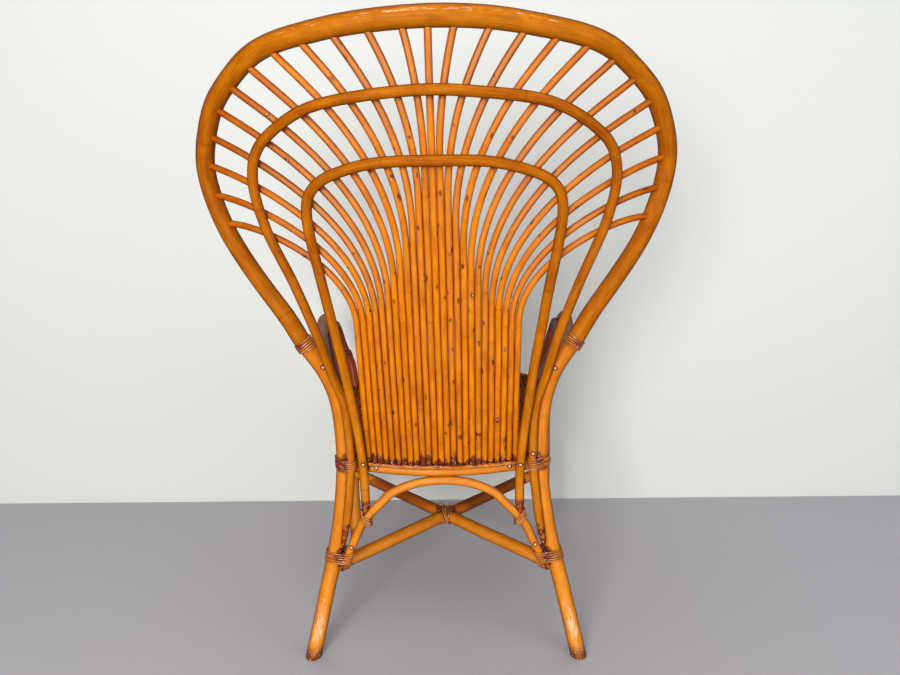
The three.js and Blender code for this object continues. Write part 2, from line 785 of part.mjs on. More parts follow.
function armLashing() {
  const height = between(seatFrontHeight, armCrestHeight, 0.5);
  return lashingAt([frontPole, innerArm], height, hiddenLashingTurns);
}

function stretcherEndLashing() {
  const clear = rearLeg.radius + strandStep + (lashingTurns * strandPitch) / 2;
  const share = (1.15 * clear) / stretcher.curve.getLength();
  const axis = stretcher.curve.getTangentAt(share);
  return lashing([stretcher], stretcher.curve.getPointAt(share), axis, lashingTurns);
}

function crossLashing() {
  const other = { ...stretcher, axis: stretcher.axis.map(mirroredPoint) };
  return lashing([stretcher, other], crossing, vector(1, 0, 0), hiddenLashingTurns);
}

// The scarf of the inner hoop on the rear arch, tied square to the arch.
function archLashing() {
  const landing = innerHoop.curve.getPointAt(0).x;
  const share = shareWhere(rearArch.curve, (p) => -p.x, -landing - archRadius, 0, 0.5);
  const axis = rearArch.curve.getTangentAt(share);
  return lashing([rearArch, innerHoop], rearArch.curve.getPointAt(share), axis, hiddenLashingTurns);
}

// The chair, each piece under its own name.
const chair = new THREE.Group();

function add(name, solid, finish) {
  const material = new THREE.MeshStandardMaterial(finishes[finish]);
  const mesh = new THREE.Mesh(geometryOf(solid), material);
  mesh.geometry.computeVertexNormals();
  mesh.name = name;
  chair.add(mesh);
}

function addPair(name, solid, finish) {
  add(name + "_left", solid, finish);
  add(name + "_right", mirrored(solid), finish);
}

add("outer_hoop", outerHoop.body, "pole");
addPair("rear_leg", rearLeg.body, "pole");
add("middle_hoop", middleHoop.body, "pole");
add("inner_hoop", innerHoop.body, "pole");
add("seat_rail_back", rail.body, "pole");
add("cane_foot_trim", trim(), "pole");
add("rear_arch", rearArch.body, "pole");
add("cane_center", cane(0), "cane");
for (let i = 1; i <= canesPerSide; i++) {
  const solid = cane(i);
  const number = String(i).padStart(2, "0");
  add("cane_left_" + number, solid, "cane");
  add("cane_right_" + number, mirrored(solid), "cane");
}
addPair("front_leg_arm", frontPole.body, "pole");
addPair("inner_arm", innerArm.body, "pole");
add("seat_hoop", seatHoop.body, "pole");
add("seat_front_wrap", wrap.body, "weave");
add("seat_panel", seatPanel(), "weave");
addPair("side_arch", sideArch.body, "pole");
add("front_arch", frontArch.body, "pole");
const [upperStretcher, lowerStretcher] = stretchers();
add("stretcher_upper", upperStretcher, "pole");
add("stretcher_lower", lowerStretcher, "pole");
addPair("lashing_hoop_joint", jointLashing(), "lashing");
addPair("lashing_rail", railLashing(), "lashing");
addPair("lashing_rear_lower", rearLowerLashing(), "lashing");
addPair("lashing_front_lower", frontLowerLashing(), "lashing");
addPair("lashing_stretcher_end", stretcherEndLashing(), "lashing");
addPair("lashing_inner_hoop", archLashing(), "lashing");
addPair("lashing_arm", armLashing(), "lashing");
add("lashing_stretcher_cross", crossLashing(), "lashing");
console.log("least gap in any winding: " + Math.min(...windingGaps).toFixed(2) + " mm");

// The origin is the middle of the chair's box, on the floor.
const box = new THREE.Box3().setFromObject(chair);
chair.position.y = -(box.min.y + box.max.y) / 2;

export default chair;
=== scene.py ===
import math

import bpy
import numpy as np
from mathutils import Matrix, Vector


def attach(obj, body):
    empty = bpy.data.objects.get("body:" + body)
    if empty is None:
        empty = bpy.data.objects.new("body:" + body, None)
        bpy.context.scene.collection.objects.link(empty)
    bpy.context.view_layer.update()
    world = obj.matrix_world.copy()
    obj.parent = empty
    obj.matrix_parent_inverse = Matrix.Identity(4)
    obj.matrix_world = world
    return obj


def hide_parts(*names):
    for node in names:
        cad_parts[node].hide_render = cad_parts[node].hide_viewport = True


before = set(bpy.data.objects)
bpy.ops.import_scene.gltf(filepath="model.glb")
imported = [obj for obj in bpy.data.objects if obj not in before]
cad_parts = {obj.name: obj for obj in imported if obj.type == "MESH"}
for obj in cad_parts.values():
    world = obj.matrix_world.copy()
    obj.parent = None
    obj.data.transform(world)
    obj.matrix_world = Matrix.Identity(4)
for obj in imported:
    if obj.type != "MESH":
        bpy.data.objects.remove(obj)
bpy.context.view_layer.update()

rng = np.random.default_rng(7)  # one seed, so every run gives the same chair

# Camera, floor, wall and lamps

view = {
    "place": (-0.046, 1.3562, 1.0006), "yaw": 1.19, "pitch": 14.54, "roll": -1.11,  # degrees
    "focalPixels": 641.5, "imageWidth": 900, "sensorWidth": 36,
}
studio = {
    "halfWidth": 6, "wallHeight": 5, "wallDepth": -0.47,
    "floorColor": (0.40, 0.385, 0.41), "floorRoughness": 0.75,
    "wallColor": (0.72, 0.745, 0.71), "wallRoughness": 0.9,
    "skyColor": (0.93, 0.95, 1.0), "skyStrength": 0.36,
}
lamps = {  # each aims at a height over the frame's origin
    "keyLamp": {"place": (0.9, 3.4, 1.5), "aim": 0.5, "size": 1.6, "power": 108, "color": (1, 0.98, 0.95)},
    "fillLamp": {"place": (-2.4, 1.9, 1.5), "aim": 0.5, "size": 2.2, "power": 24, "color": (0.96, 0.98, 1)},
    "topLamp": {"place": (0.0, 1.3, 3.4), "aim": 0.6, "size": 2.0, "power": 20, "color": (1, 1, 1)},
    "frontLamp": {"place": (0.6, -2.8, 2.4), "aim": 0.6, "size": 2.4, "power": 50, "color": (1, 0.99, 0.97)},
}


def placed(name, data):
    thing = bpy.data.objects.new(name, data)
    bpy.context.scene.collection.objects.link(thing)
    return thing


def makeCamera():
    yaw, pitch, roll = (math.radians(view[k]) for k in ("yaw", "pitch", "roll"))
    forward = np.array([
        math.sin(yaw) * math.cos(pitch), -math.cos(yaw) * math.cos(pitch), -math.sin(pitch)
    ])
    right = np.cross(forward, (0, 0, 1))
    right /= np.linalg.norm(right)
    up = np.cross(right, forward)
    across = right * math.cos(roll) + up * math.sin(roll)
    upwards = up * math.cos(roll) - right * math.sin(roll)
    data = bpy.data.cameras.new("photoCamera")
    data.sensor_width = view["sensorWidth"]
    data.lens = view["sensorWidth"] * view["focalPixels"] / view["imageWidth"]
    camera = placed("photoCamera", data)
    turn = np.eye(4)
    turn[:3, 0], turn[:3, 1], turn[:3, 2], turn[:3, 3] = across, upwards, -forward, view["place"]
    camera.matrix_world = Matrix(turn.tolist())
    bpy.context.scene.camera = camera


def softLamp(name, made):
    data = bpy.data.lights.new(name, "AREA")
    data.shape, data.size, data.energy, data.color = "DISK", made["size"], made["power"], made["color"]
    lamp = placed(name, data)
    aim = Vector((0, 0, made["aim"])) - Vector(made["place"])
    lamp.rotation_mode = "QUATERNION"
    lamp.rotation_quaternion = aim.to_track_quat("-Z", "Y")
    lamp.location = made["place"]


def plainSheet(name, corners, paintName, color, roughness):
    mesh = bpy.data.meshes.new(name)
    mesh.from_pydata(corners, [], [(0, 1, 2, 3)])
    mesh.update()
    paint = bpy.data.materials.new(paintName)
    paint.use_nodes = True
    shader = paint.node_tree.nodes["Principled BSDF"]
    shader.inputs["Base Color"].default_value = (*color, 1)
    shader.inputs["Roughness"].default_value = roughness
    mesh.materials.append(paint)
    return placed(name, mesh), paint.node_tree


def makeStage():
    wide, high, depth = studio["halfWidth"], studio["wallHeight"], studio["wallDepth"]
    corners = [(-wide, -wide, 0), (wide, -wide, 0), (wide, wide, 0), (-wide, wide, 0)]
    floor, _ = plainSheet("floor", corners, "paleFloor", studio["floorColor"], studio["floorRoughness"])
    corners = [(-wide, depth, 0), (-wide, depth, high), (wide, depth, high), (wide, depth, 0)]
    wall, tree = plainSheet("wall", corners, "paleWall", studio["wallColor"], studio["wallRoughness"])
    # seen from its back the wall is clear, so that it hides no other view
    side = tree.nodes.new("ShaderNodeNewGeometry")
    clear = tree.nodes.new("ShaderNodeBsdfTransparent")
    mix = tree.nodes.new("ShaderNodeMixShader")
    tree.links.new(side.outputs["Backfacing"], mix.inputs[0])
    tree.links.new(tree.nodes["Principled BSDF"].outputs[0], mix.inputs[1])
    tree.links.new(clear.outputs[0], mix.inputs[2])
    tree.links.new(mix.outputs[0], tree.nodes["Material Output"].inputs[0])
    if wall.data.polygons[0].normal.y < 0:
        wall.data.flip_normals()
    world = bpy.data.worlds.new("softSky")
    bpy.context.scene.world = world
    world.use_nodes = True
    sky = world.node_tree.nodes["Background"]
    sky.inputs[0].default_value = (*studio["skyColor"], 1)
    sky.inputs[1].default_value = studio["skyStrength"]
    for name, made in lamps.items():
        softLamp(name, made)
    bpy.context.scene.view_settings.view_transform = "Standard"


makeCamera()
makeStage()
print("stage: camera, floor, wall and lamps are set")

# Paths

stationGap = 0.004
fineGap = 0.001  # for the paths on which places are looked up
cubicSteps = 40  # points of a cubic between two stations
bellReach = 2.5  # a bell of weights ends at this many times its reach


def unit(vectors):
    return vectors / np.maximum(np.linalg.norm(vectors, axis=-1, keepdims=True), 1e-12)


def between(a, b, share):
    return a + (b - a) * share


def rise(value, start, reach):  # 0 up to the start, 1 after the reach; a negative reach falls
    return np.clip((value - start) / reach, 0, 1)


def runningLength(points):
    steps = np.linalg.norm(np.diff(points, axis=0), axis=1)
    return np.concatenate([[0], np.cumsum(steps)])


def atLengths(points, wanted):  # by linear interpolation on the running length
    along = runningLength(points)
    return np.stack([np.interp(wanted, along, points[:, k]) for k in range(3)], axis=1)


def evenPath(points, spacing):  # the same line in even steps
    length = runningLength(points)[-1]
    steps = max(int(round(length / spacing)), 2)
    return atLengths(points, np.linspace(0, length, steps + 1))


def cutPath(points, start, end):  # the part between two lengths from the start
    steps = max(int(round((end - start) / runningLength(points)[1])), 2)
    return atLengths(points, np.linspace(start, end, steps + 1))


# A path of even steps through points: between two points a and b it is the cubic that passes
# both, with tangents weighted by the square root of the distances (a centripetal spline).
def smoothPath(points, spacing):
    points = np.asarray(points, float)
    whole = np.vstack([2 * points[0] - points[1], points, 2 * points[-1] - points[-2]])
    before, a, b, after = whole[:-3], whole[1:-2], whole[2:-1], whole[3:]
    gaps = np.sqrt(np.linalg.norm(np.diff(whole, axis=0), axis=1))[:, None]
    g0, g1, g2 = gaps[:-2], gaps[1:-1], gaps[2:]
    startPull = ((a - before) / g0 - (b - before) / (g0 + g1) + (b - a) / g1) * g1
    endPull = ((b - a) / g1 - (after - a) / (g1 + g2) + (after - b) / g2) * g1
    t = np.linspace(0, 1, cubicSteps, endpoint=False)[None, :, None]
    a, b, startPull, endPull = (v[:, None, :] for v in (a, b, startPull, endPull))
    cubic = (
        a + startPull * t + (3 * (b - a) - 2 * startPull - endPull) * t**2
        + (2 * (a - b) + startPull + endPull) * t**3
    )
    return evenPath(np.vstack([cubic.reshape(-1, 3), points[-1:]]), spacing)


# Kinks between stations are eased: each point becomes a bell-weighted mean along the path.
def eased(points, reach):
    spacing = runningLength(points)[1]
    count = int(round(bellReach * reach / spacing))
    bell = np.exp(-((np.arange(-count, count + 1) * spacing / reach) ** 2))
    bell = bell / bell.sum()
    before = 2 * points[0] - points[count:0:-1]
    after = 2 * points[-1] - points[-2:-count - 2:-1]
    whole = np.vstack([before, points, after])
    return np.stack([np.convolve(whole[:, k], bell, mode="valid") for k in range(3)], axis=1)


def mirrored(points):
    return points * (-1, 1, 1)


def wholeLine(half):  # a half line and its mirror image, which share the last point
    return np.vstack([half, mirrored(half[:-1])[::-1]])


# Two directions square to the path: side = tangent x flat, top = side x tangent.
def directionsAlong(path, flat):
    tangent = unit(np.gradient(path, axis=0))
    side = unit(np.cross(tangent, np.broadcast_to(np.asarray(flat, float), path.shape)))
    return tangent, side, np.cross(side, tangent)


# Meshes and poles


# A mesh from the corners of its faces, with each vertex's place in the grain and its marks.
def faceMesh(name, corners, sizes, verts, grain, marks):
    mesh = bpy.data.meshes.new(name)
    mesh.vertices.add(len(verts))
    mesh.vertices.foreach_set("co", verts.astype(np.float32).ravel())
    mesh.loops.add(len(corners))
    mesh.loops.foreach_set("vertex_index", corners.astype(np.int32))
    mesh.polygons.add(len(sizes))
    mesh.polygons.foreach_set("loop_start", (np.cumsum(sizes) - sizes).astype(np.int32))
    mesh.update(calc_edges=True)
    mesh.polygons.foreach_set("use_smooth", np.full(len(sizes), True))
    for key, kind, field, values in (
        ("grain", "FLOAT_VECTOR", "vector", grain), ("marks", "FLOAT_COLOR", "color", marks)
    ):
        layer = mesh.attributes.new(key, kind, "POINT")
        layer.data.foreach_set(field, values.astype(np.float32).ravel())
    if mesh.validate():
        print("mesh mended:", name)
    return placed(name, mesh)


# A closed grid of rings, with a fan of triangles at each end.
def ringMesh(name, rings, grain, marks):
    count, around = rings.shape[:2]
    total = count * around
    ring = np.arange(around)
    after = np.roll(ring, -1)
    row = np.arange(count - 1)[:, None] * around
    quads = np.stack([row + ring, row + ring + around, row + after + around, row + after], axis=-1)
    first = np.stack([ring, after, np.full(around, total)], axis=-1)
    last = np.stack([after + total - around, ring + total - around, np.full(around, total + 1)], axis=-1)
    corners = np.concatenate([quads.ravel(), first.ravel(), last.ravel()])
    sizes = np.repeat([4, 3], [(count - 1) * around, 2 * around])
    filled = [
        np.vstack([values.reshape(total, -1), values[0].mean(0), values[-1].mean(0)])
        for values in (rings, grain, marks)
    ]
    return faceMesh(name, corners, sizes, *filled)


natural = {  # what all rattan has in common
    "firstKnuckle": (0.15, 0.85), "knuckleSpread": 0.18, "swellReach": 0.005, "ringReach": 0.0011,
    "ringDepth": 0.6, "sideWave": 0.35, "topWave": 0.29, "widthWave": 0.5, "widthChange": 0.012,
    "waveShares": (1.0, 0.61, 0.37), "waveScale": 1.6, "taperPower": 0.6, "grainShift": 40,
    "footLevels": (0.0, 0.0, 0.0006, 0.0022), "footRims": (0.80, 0.90, 0.965, 1.0), "footStart": 0.55,
    "dripLength": (0.0022, 0.0080), "dripTurn": (0.24, 0.62), "dripStrength": (0.7, 1.15),
}


# Slow waves along a length: a sum of three sines with random phases, between about -1 and 1.
def slowWaves(along, wavelength):
    phases = rng.uniform(0, 2 * np.pi, 3)
    return sum(
        np.sin(2 * np.pi * along / (wavelength * share) + phase) * share
        for share, phase in zip(natural["waveShares"], phases)
    ) / natural["waveScale"]


# Rattan swells at each knuckle as exp(-(d / reach)^2), and has a narrow ring there.
def knucklesOf(along, spacing):
    spread = natural["knuckleSpread"]
    places = np.arange(rng.uniform(*natural["firstKnuckle"]) * spacing, along[-1], spacing)
    places = places + rng.uniform(-spread, spread, len(places)) * spacing
    if not len(places):
        return np.zeros_like(along), np.zeros_like(along)
    distance = along[:, None] - places[None, :]
    return tuple(np.exp(-((distance / natural[key]) ** 2)).max(1) for key in ("swellReach", "ringReach"))


# Drops of stain, each exp(-(along / length)^2 - (turn / width)^2), as many as given for a metre.
def stainDrips(along, angle, perMetre):
    stain = np.zeros((len(along), len(angle)))
    for _ in range(rng.poisson(perMetre * along[-1])):
        place, turn = rng.uniform(0, along[-1]), rng.uniform(0, 2 * np.pi)
        length, width = rng.uniform(*natural["dripLength"]), rng.uniform(*natural["dripTurn"])
        turned = np.angle(np.exp(1j * (angle - turn)))
        drop = np.exp(-((along[:, None] - place) / length) ** 2 - (turned[None, :] / width) ** 2)
        stain = np.maximum(stain, rng.uniform(*natural["dripStrength"]) * drop)
    return stain


# A pole thins towards both ends, as a scarfed end does: least + (1 - least) (nearest / length)^0.6.
def endTaper(along, length, least):
    share = np.clip(np.minimum(along, along[-1] - along) / length, 0, 1)
    return least + (1 - least) * share ** natural["taperPower"]


# A pole: a round section carried along its path, with knuckles, a faint waver and marks.
# marks holds stain, wear, knuckle ring and tint; the wear and the tint also carry painted highlight and
# painted shade.
def pole(name, path, made, marksAt=None, footEnd=False):
    radius, sides, shape = made["radius"], made["sides"], made.get("shape", (1, 1))
    along = runningLength(path)
    _, side, top = directionsAlong(path, made["flat"])
    path = path + side * (slowWaves(along, natural["sideWave"]) * made["waver"])[:, None]
    path = path + top * (slowWaves(along, natural["topWave"]) * made["waver"])[:, None]
    tangent, side, top = directionsAlong(path, made["flat"])
    swell, ring = knucklesOf(along, made["knuckles"])
    width = radius * (1 + made["swell"] * (swell - natural["ringDepth"] * ring))
    width = width * (1 + natural["widthChange"] * slowWaves(along, natural["widthWave"]))
    if "taper" in made:
        width = width * endTaper(along, *made["taper"])
    angle = np.linspace(0, 2 * np.pi, sides, endpoint=False)
    cos, sin = np.cos(angle)[None, :, None], np.sin(angle)[None, :, None]
    section = side[:, None] * cos * shape[0] + top[:, None] * sin * shape[1]
    rings = path[:, None] + width[:, None, None] * section
    if footEnd:  # the first rings lie level: v - t (v.z - level) / t.z, with a rounded rim
        levels, rims = np.array(natural["footLevels"]), np.array(natural["footRims"]) * radius
        flatRings = path[0] + rims[:, None, None] * (side[0] * cos + top[0] * sin)
        lift = (flatRings[..., 2] - levels[:, None]) / tangent[0][2]
        flatRings = flatRings - tangent[0] * lift[..., None]
        keep = path[:, 2] > radius * natural["footStart"]
        none = np.zeros(len(levels))
        rings = np.vstack([flatRings, rings[keep]])
        along = np.concatenate([none, along[keep]])
        ring = np.concatenate([none, ring[keep]])
        width = np.concatenate([rims, width[keep]])
    shift = rng.uniform(0, natural["grainShift"])
    grain = np.concatenate([
        width[:, None, None] * np.concatenate([cos, sin], -1) + np.zeros((len(along), 1, 1)),
        np.broadcast_to((along + shift)[:, None, None], (len(along), sides, 1)),
    ], axis=-1)
    marks = np.zeros((len(along), sides, 4))
    marks[..., 2] = ring[:, None]
    marks[..., 3] = rng.uniform(-1, 1) * made["tintSpread"]
    if marksAt:
        marks[..., 0], marks[..., 1], paintedLight = marksAt(rings, along)
        marks[..., 3] += paintedLight
    if "spots" in made:
        marks[..., 0] = np.maximum(marks[..., 0], stainDrips(along, angle, made["spots"]))
    return ringMesh(name, rings, grain, marks)


def finishPiece(piece, slotName, material, *replaced):
    piece.data.materials.append(material)
    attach(piece, "root")
    if replaced:
        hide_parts(*replaced)


# Materials


class Nodes:  # short calls for building one node tree
    def __init__(self, tree):
        self.tree = tree

    def give(self, socket, value):
        if isinstance(value, bpy.types.NodeSocket):
            self.tree.links.new(value, socket)
        else:
            socket.default_value = value

    def add(self, kind, inputs=None, **settings):
        node = self.tree.nodes.new(kind if kind.startswith("NodeGroup") else "ShaderNode" + kind)
        for key, value in settings.items():
            setattr(node, key, value)
        for key, value in (inputs or {}).items():
            self.give(node.inputs[key], value)
        return node

    def math(self, operation, a, b, clamp=False):
        return self.add("Math", {0: a, 1: b}, operation=operation, use_clamp=clamp).outputs[0]

    def plus(self, a, b, clamp=False):
        return self.math("ADD", a, b, clamp)

    def minus(self, a, b):
        return self.math("SUBTRACT", a, b)

    def times(self, a, b, clamp=False):
        return self.math("MULTIPLY", a, b, clamp)

    def weighed(self, total, values, shares):  # the total plus each value times its share
        for value, share in zip(values, shares):
            total = self.plus(total, self.times(value, share))
        return total

    def mix(self, share, a, b):
        return self.add("Mix", {0: share, 6: a, 7: b}, data_type="RGBA").outputs[2]

    def ramp(self, value, low, high):  # 0 below low, 1 above high
        node = self.add("MapRange", {"Value": value, "From Min": low, "From Max": high})
        node.interpolation_type = "SMOOTHSTEP"
        return node.outputs[0]

    def stretched(self, vector, scale):
        return self.add("VectorMath", {0: vector, 1: scale}, operation="MULTIPLY").outputs[0]

    def noise(self, vector, scale, detail=3.0, rough=0.55):
        given = {"Vector": self.stretched(vector, scale), "Scale": 1.0, "Detail": detail, "Roughness": rough}
        return self.add("TexNoise", given).outputs[0]

    def colorMarks(self):  # stain, wear (partly painted highlight) and knuckle ring as outputs, and the tint (partly painted light)
        marks = self.add("Attribute", attribute_name="marks").outputs
        return self.add("SeparateColor", {"Color": marks["Color"]}).outputs, marks["Alpha"]


def rgb(hexCode):  # a colour as a painter writes it, made linear
    parts = np.array([int(hexCode[i:i + 2], 16) for i in (0, 2, 4)]) / 255
    linear = np.where(parts <= 0.04045, parts / 12.92, ((parts + 0.055) / 1.055) ** 2.4)
    return (*linear.tolist(), 1.0)


lacquer = {
    # noises: scale across, across and along the grain, then detail and roughness
    "streak": ((620, 620, 14), 5), "fibre": ((2100, 2100, 60), 2), "cloud": ((70, 70, 24), 4, 0.6),
    "stainEdge": ((420, 420, 260), 4, 0.65), "pool": ((300, 300, 160), 3), "paintedGlint": ((420, 420, 260), 2, 0.5),
    "chip": ((460, 460, 60), 5, 0.7),
    # ramps: from where to where
    "paintedShadeTint": (-0.35, -1.0), "freckleEdge": (0.08, 0.30), "stainRamp": (0.66, 1.00),
    "poolRamp": (0.30, 0.68), "paintedGlintRamp": (0.69, 0.73), "wearAndHighlightRamp": (0.78, 0.90), "square": (0.0, 0.30),
    "aslant": (0.26, 0.88),
    # the freckles' cells, colours, and how much each layer adds or covers
    "cellScale": (260, 260, 75), "paintedShadeColor": (0.10, 0.022, 0.0, 1), "paintedGlintColor": (0.85, 0.72, 0.66, 1),
    "paintedHighlightColor": (1.0, 0.56, 0.24, 1), "paintedEdgeShadeColor": (0.20, 0.08, 0.04, 1),
    "fibreShare": 0.3, "freckleShare": 0.65, "ringShare": 0.35, "edgeShare": 0.8, "stainCover": (0.78, 0.20),
    "paintedGlintInStain": 0.06, "paintedGlintShare": 0.85, "chipShare": 0.75, "wearAndHighlightShare": 0.8,
    "roughBy": (0.14, -0.06, 0.35),  # fibre, stain, wear with painted highlight
    "heightBy": (0.4, 0.24, 0.5, -0.35, -0.3),  # streak, fibre, stain, wear with painted highlight, freckle
    "bumpDistance": 0.0005, "coatRoughness": 0.22,
}


# Lacquered rattan: fine streaks, clouds, freckles, knuckle rings, red stain with painted glints in it (pale
# specks standing in for highlights), and raw worn places, which also serve as painted highlights.
def rattanGroup():
    group = bpy.data.node_groups.new("rattanSurface", "ShaderNodeTree")
    colors, numbers = ("Light", "Dark", "Freckle", "Stain", "Raw"), ("Streaks", "Clouds", "Freckles", "Rough")
    for key in colors + numbers:
        kind = "NodeSocketColor" if key in colors else "NodeSocketFloat"
        group.interface.new_socket(key, in_out="INPUT", socket_type=kind)
    for key, kind in (("Color", "Color"), ("Roughness", "Float"), ("Height", "Float")):
        group.interface.new_socket(key, in_out="OUTPUT", socket_type="NodeSocket" + kind)
    n = Nodes(group)
    given = n.add("NodeGroupInput").outputs
    grain = n.add("Attribute", attribute_name="grain").outputs["Vector"]
    marks, tint = n.colorMarks()
    streak, fibre, cloud = (n.noise(grain, *lacquer[key]) for key in ("streak", "fibre", "cloud"))
    noises = [n.minus(noise, 0.5) for noise in (streak, cloud, fibre)]
    share = n.weighed(0.5, noises, (given["Streaks"], given["Clouds"], lacquer["fibreShare"]))
    # the tint is random tone plus painted light: lower for painted shade, higher for a painted highlight
    share = n.plus(share, tint, clamp=True)
    color = n.mix(share, given["Dark"], given["Light"])
    # painted shade: a very low tint, as on the stretchers' far halves under the seat, turns deep brown
    color = n.mix(n.ramp(tint, *lacquer["paintedShadeTint"]), color, lacquer["paintedShadeColor"])
    # freckles: small dark ovals in one cell out of several
    cellPlace = n.stretched(grain, lacquer["cellScale"])
    cells = n.add("TexVoronoi", {"Vector": cellPlace, "Scale": 1.0, "Randomness": 1.0})
    spot = n.minus(1.0, n.ramp(cells.outputs["Distance"], *lacquer["freckleEdge"]))
    pick = n.add("SeparateColor", {"Color": cells.outputs["Color"]}).outputs[0]
    chosen = n.ramp(pick, n.minus(1.0, given["Freckles"]), 1.0)
    freckle = n.times(spot, n.math("GREATER_THAN", chosen, 0.02))
    color = n.mix(n.times(freckle, lacquer["freckleShare"]), color, given["Freckle"])
    color = n.mix(n.times(marks[2], lacquer["ringShare"]), color, given["Freckle"])
    # stain with a ragged edge, pooled in places, and pale painted glints in it
    edge = n.times(n.noise(grain, *lacquer["stainEdge"]), lacquer["edgeShare"])
    stained = n.ramp(n.plus(marks[0], edge), *lacquer["stainRamp"])
    pooled = n.ramp(n.noise(grain, *lacquer["pool"]), *lacquer["poolRamp"])
    least, more = lacquer["stainCover"]
    color = n.mix(n.times(stained, n.plus(least, n.times(pooled, more))), color, given["Stain"])
    # painted highlight: pale specks in the stain stand in for glints
    paintedGlints = n.plus(n.noise(grain, *lacquer["paintedGlint"]), n.times(marks[0], lacquer["paintedGlintInStain"]))
    paintedGlints = n.times(stained, n.ramp(paintedGlints, *lacquer["paintedGlintRamp"]))
    color = n.mix(n.times(paintedGlints, lacquer["paintedGlintShare"]), color, lacquer["paintedGlintColor"])
    # the raw colour shows wear, and also painted highlights on crowns, arm tops, feet and strand ridges
    chips = n.times(n.noise(grain, *lacquer["chip"]), lacquer["chipShare"])
    wearAndHighlight = n.ramp(n.plus(marks[1], chips), *lacquer["wearAndHighlightRamp"])
    color = n.mix(n.times(wearAndHighlight, lacquer["wearAndHighlightShare"]), color, given["Raw"])
    rough = n.weighed(given["Rough"], (fibre, stained, wearAndHighlight), lacquer["roughBy"])
    height = n.weighed(0.0, (streak, fibre, stained, wearAndHighlight, freckle), lacquer["heightBy"])
    n.add("NodeGroupOutput", {"Color": color, "Roughness": rough, "Height": height})
    return group


# A painted highlight, a pale peach haze, lies where the lacquer is seen square on, and painted shade makes it
# deeper where it is seen aslant, which also darkens the crevices between canes.
def rattanMaterial(name, finish):
    material = bpy.data.materials.new(name)
    material.use_nodes = True
    n = Nodes(material.node_tree)
    surface = n.add("Group", node_tree=surfaceGroup)
    for key in ("light", "dark", "freckle", "stain", "raw"):
        surface.inputs[key.capitalize()].default_value = rgb(finish[key])
    for key in ("streaks", "clouds", "freckles", "rough"):
        surface.inputs[key.capitalize()].default_value = finish[key]
    aslant = n.add("LayerWeight", {"Blend": 0.5}).outputs["Facing"]
    _, tint = n.colorMarks()
    # painted highlight: pale peach where the surface is seen square on, raised by the tint
    paintedHighlight = n.plus(n.times(tint, finish["paintedHighlightByTint"], clamp=True), finish["paintedHighlight"])
    square = n.times(n.minus(1.0, n.ramp(aslant, *lacquer["square"])), paintedHighlight)
    highlighted = n.mix(square, surface.outputs["Color"], lacquer["paintedHighlightColor"])
    # painted shade: where the surface is seen aslant, at pole edges and between canes, the colour is
    # multiplied darker
    deep = n.times(n.ramp(aslant, *lacquer["aslant"]), finish["depth"])
    darker = n.add("MixRGB", {0: deep, 1: highlighted, 2: lacquer["paintedEdgeShadeColor"]}, blend_type="MULTIPLY")
    relief = {"Distance": lacquer["bumpDistance"], "Height": surface.outputs["Height"]}
    bump = n.add("Bump", {"Strength": finish["bump"], **relief})
    shader = material.node_tree.nodes["Principled BSDF"]
    for key, value in {
        "Base Color": darker.outputs[0], "Roughness": surface.outputs["Roughness"],
        "Normal": bump.outputs["Normal"], "Coat Weight": finish["coat"],
        "Coat Roughness": lacquer["coatRoughness"], "Specular IOR Level": finish["shine"],
    }.items():
        n.give(shader.inputs[key], value)
    return material


surfaceGroup = rattanGroup()
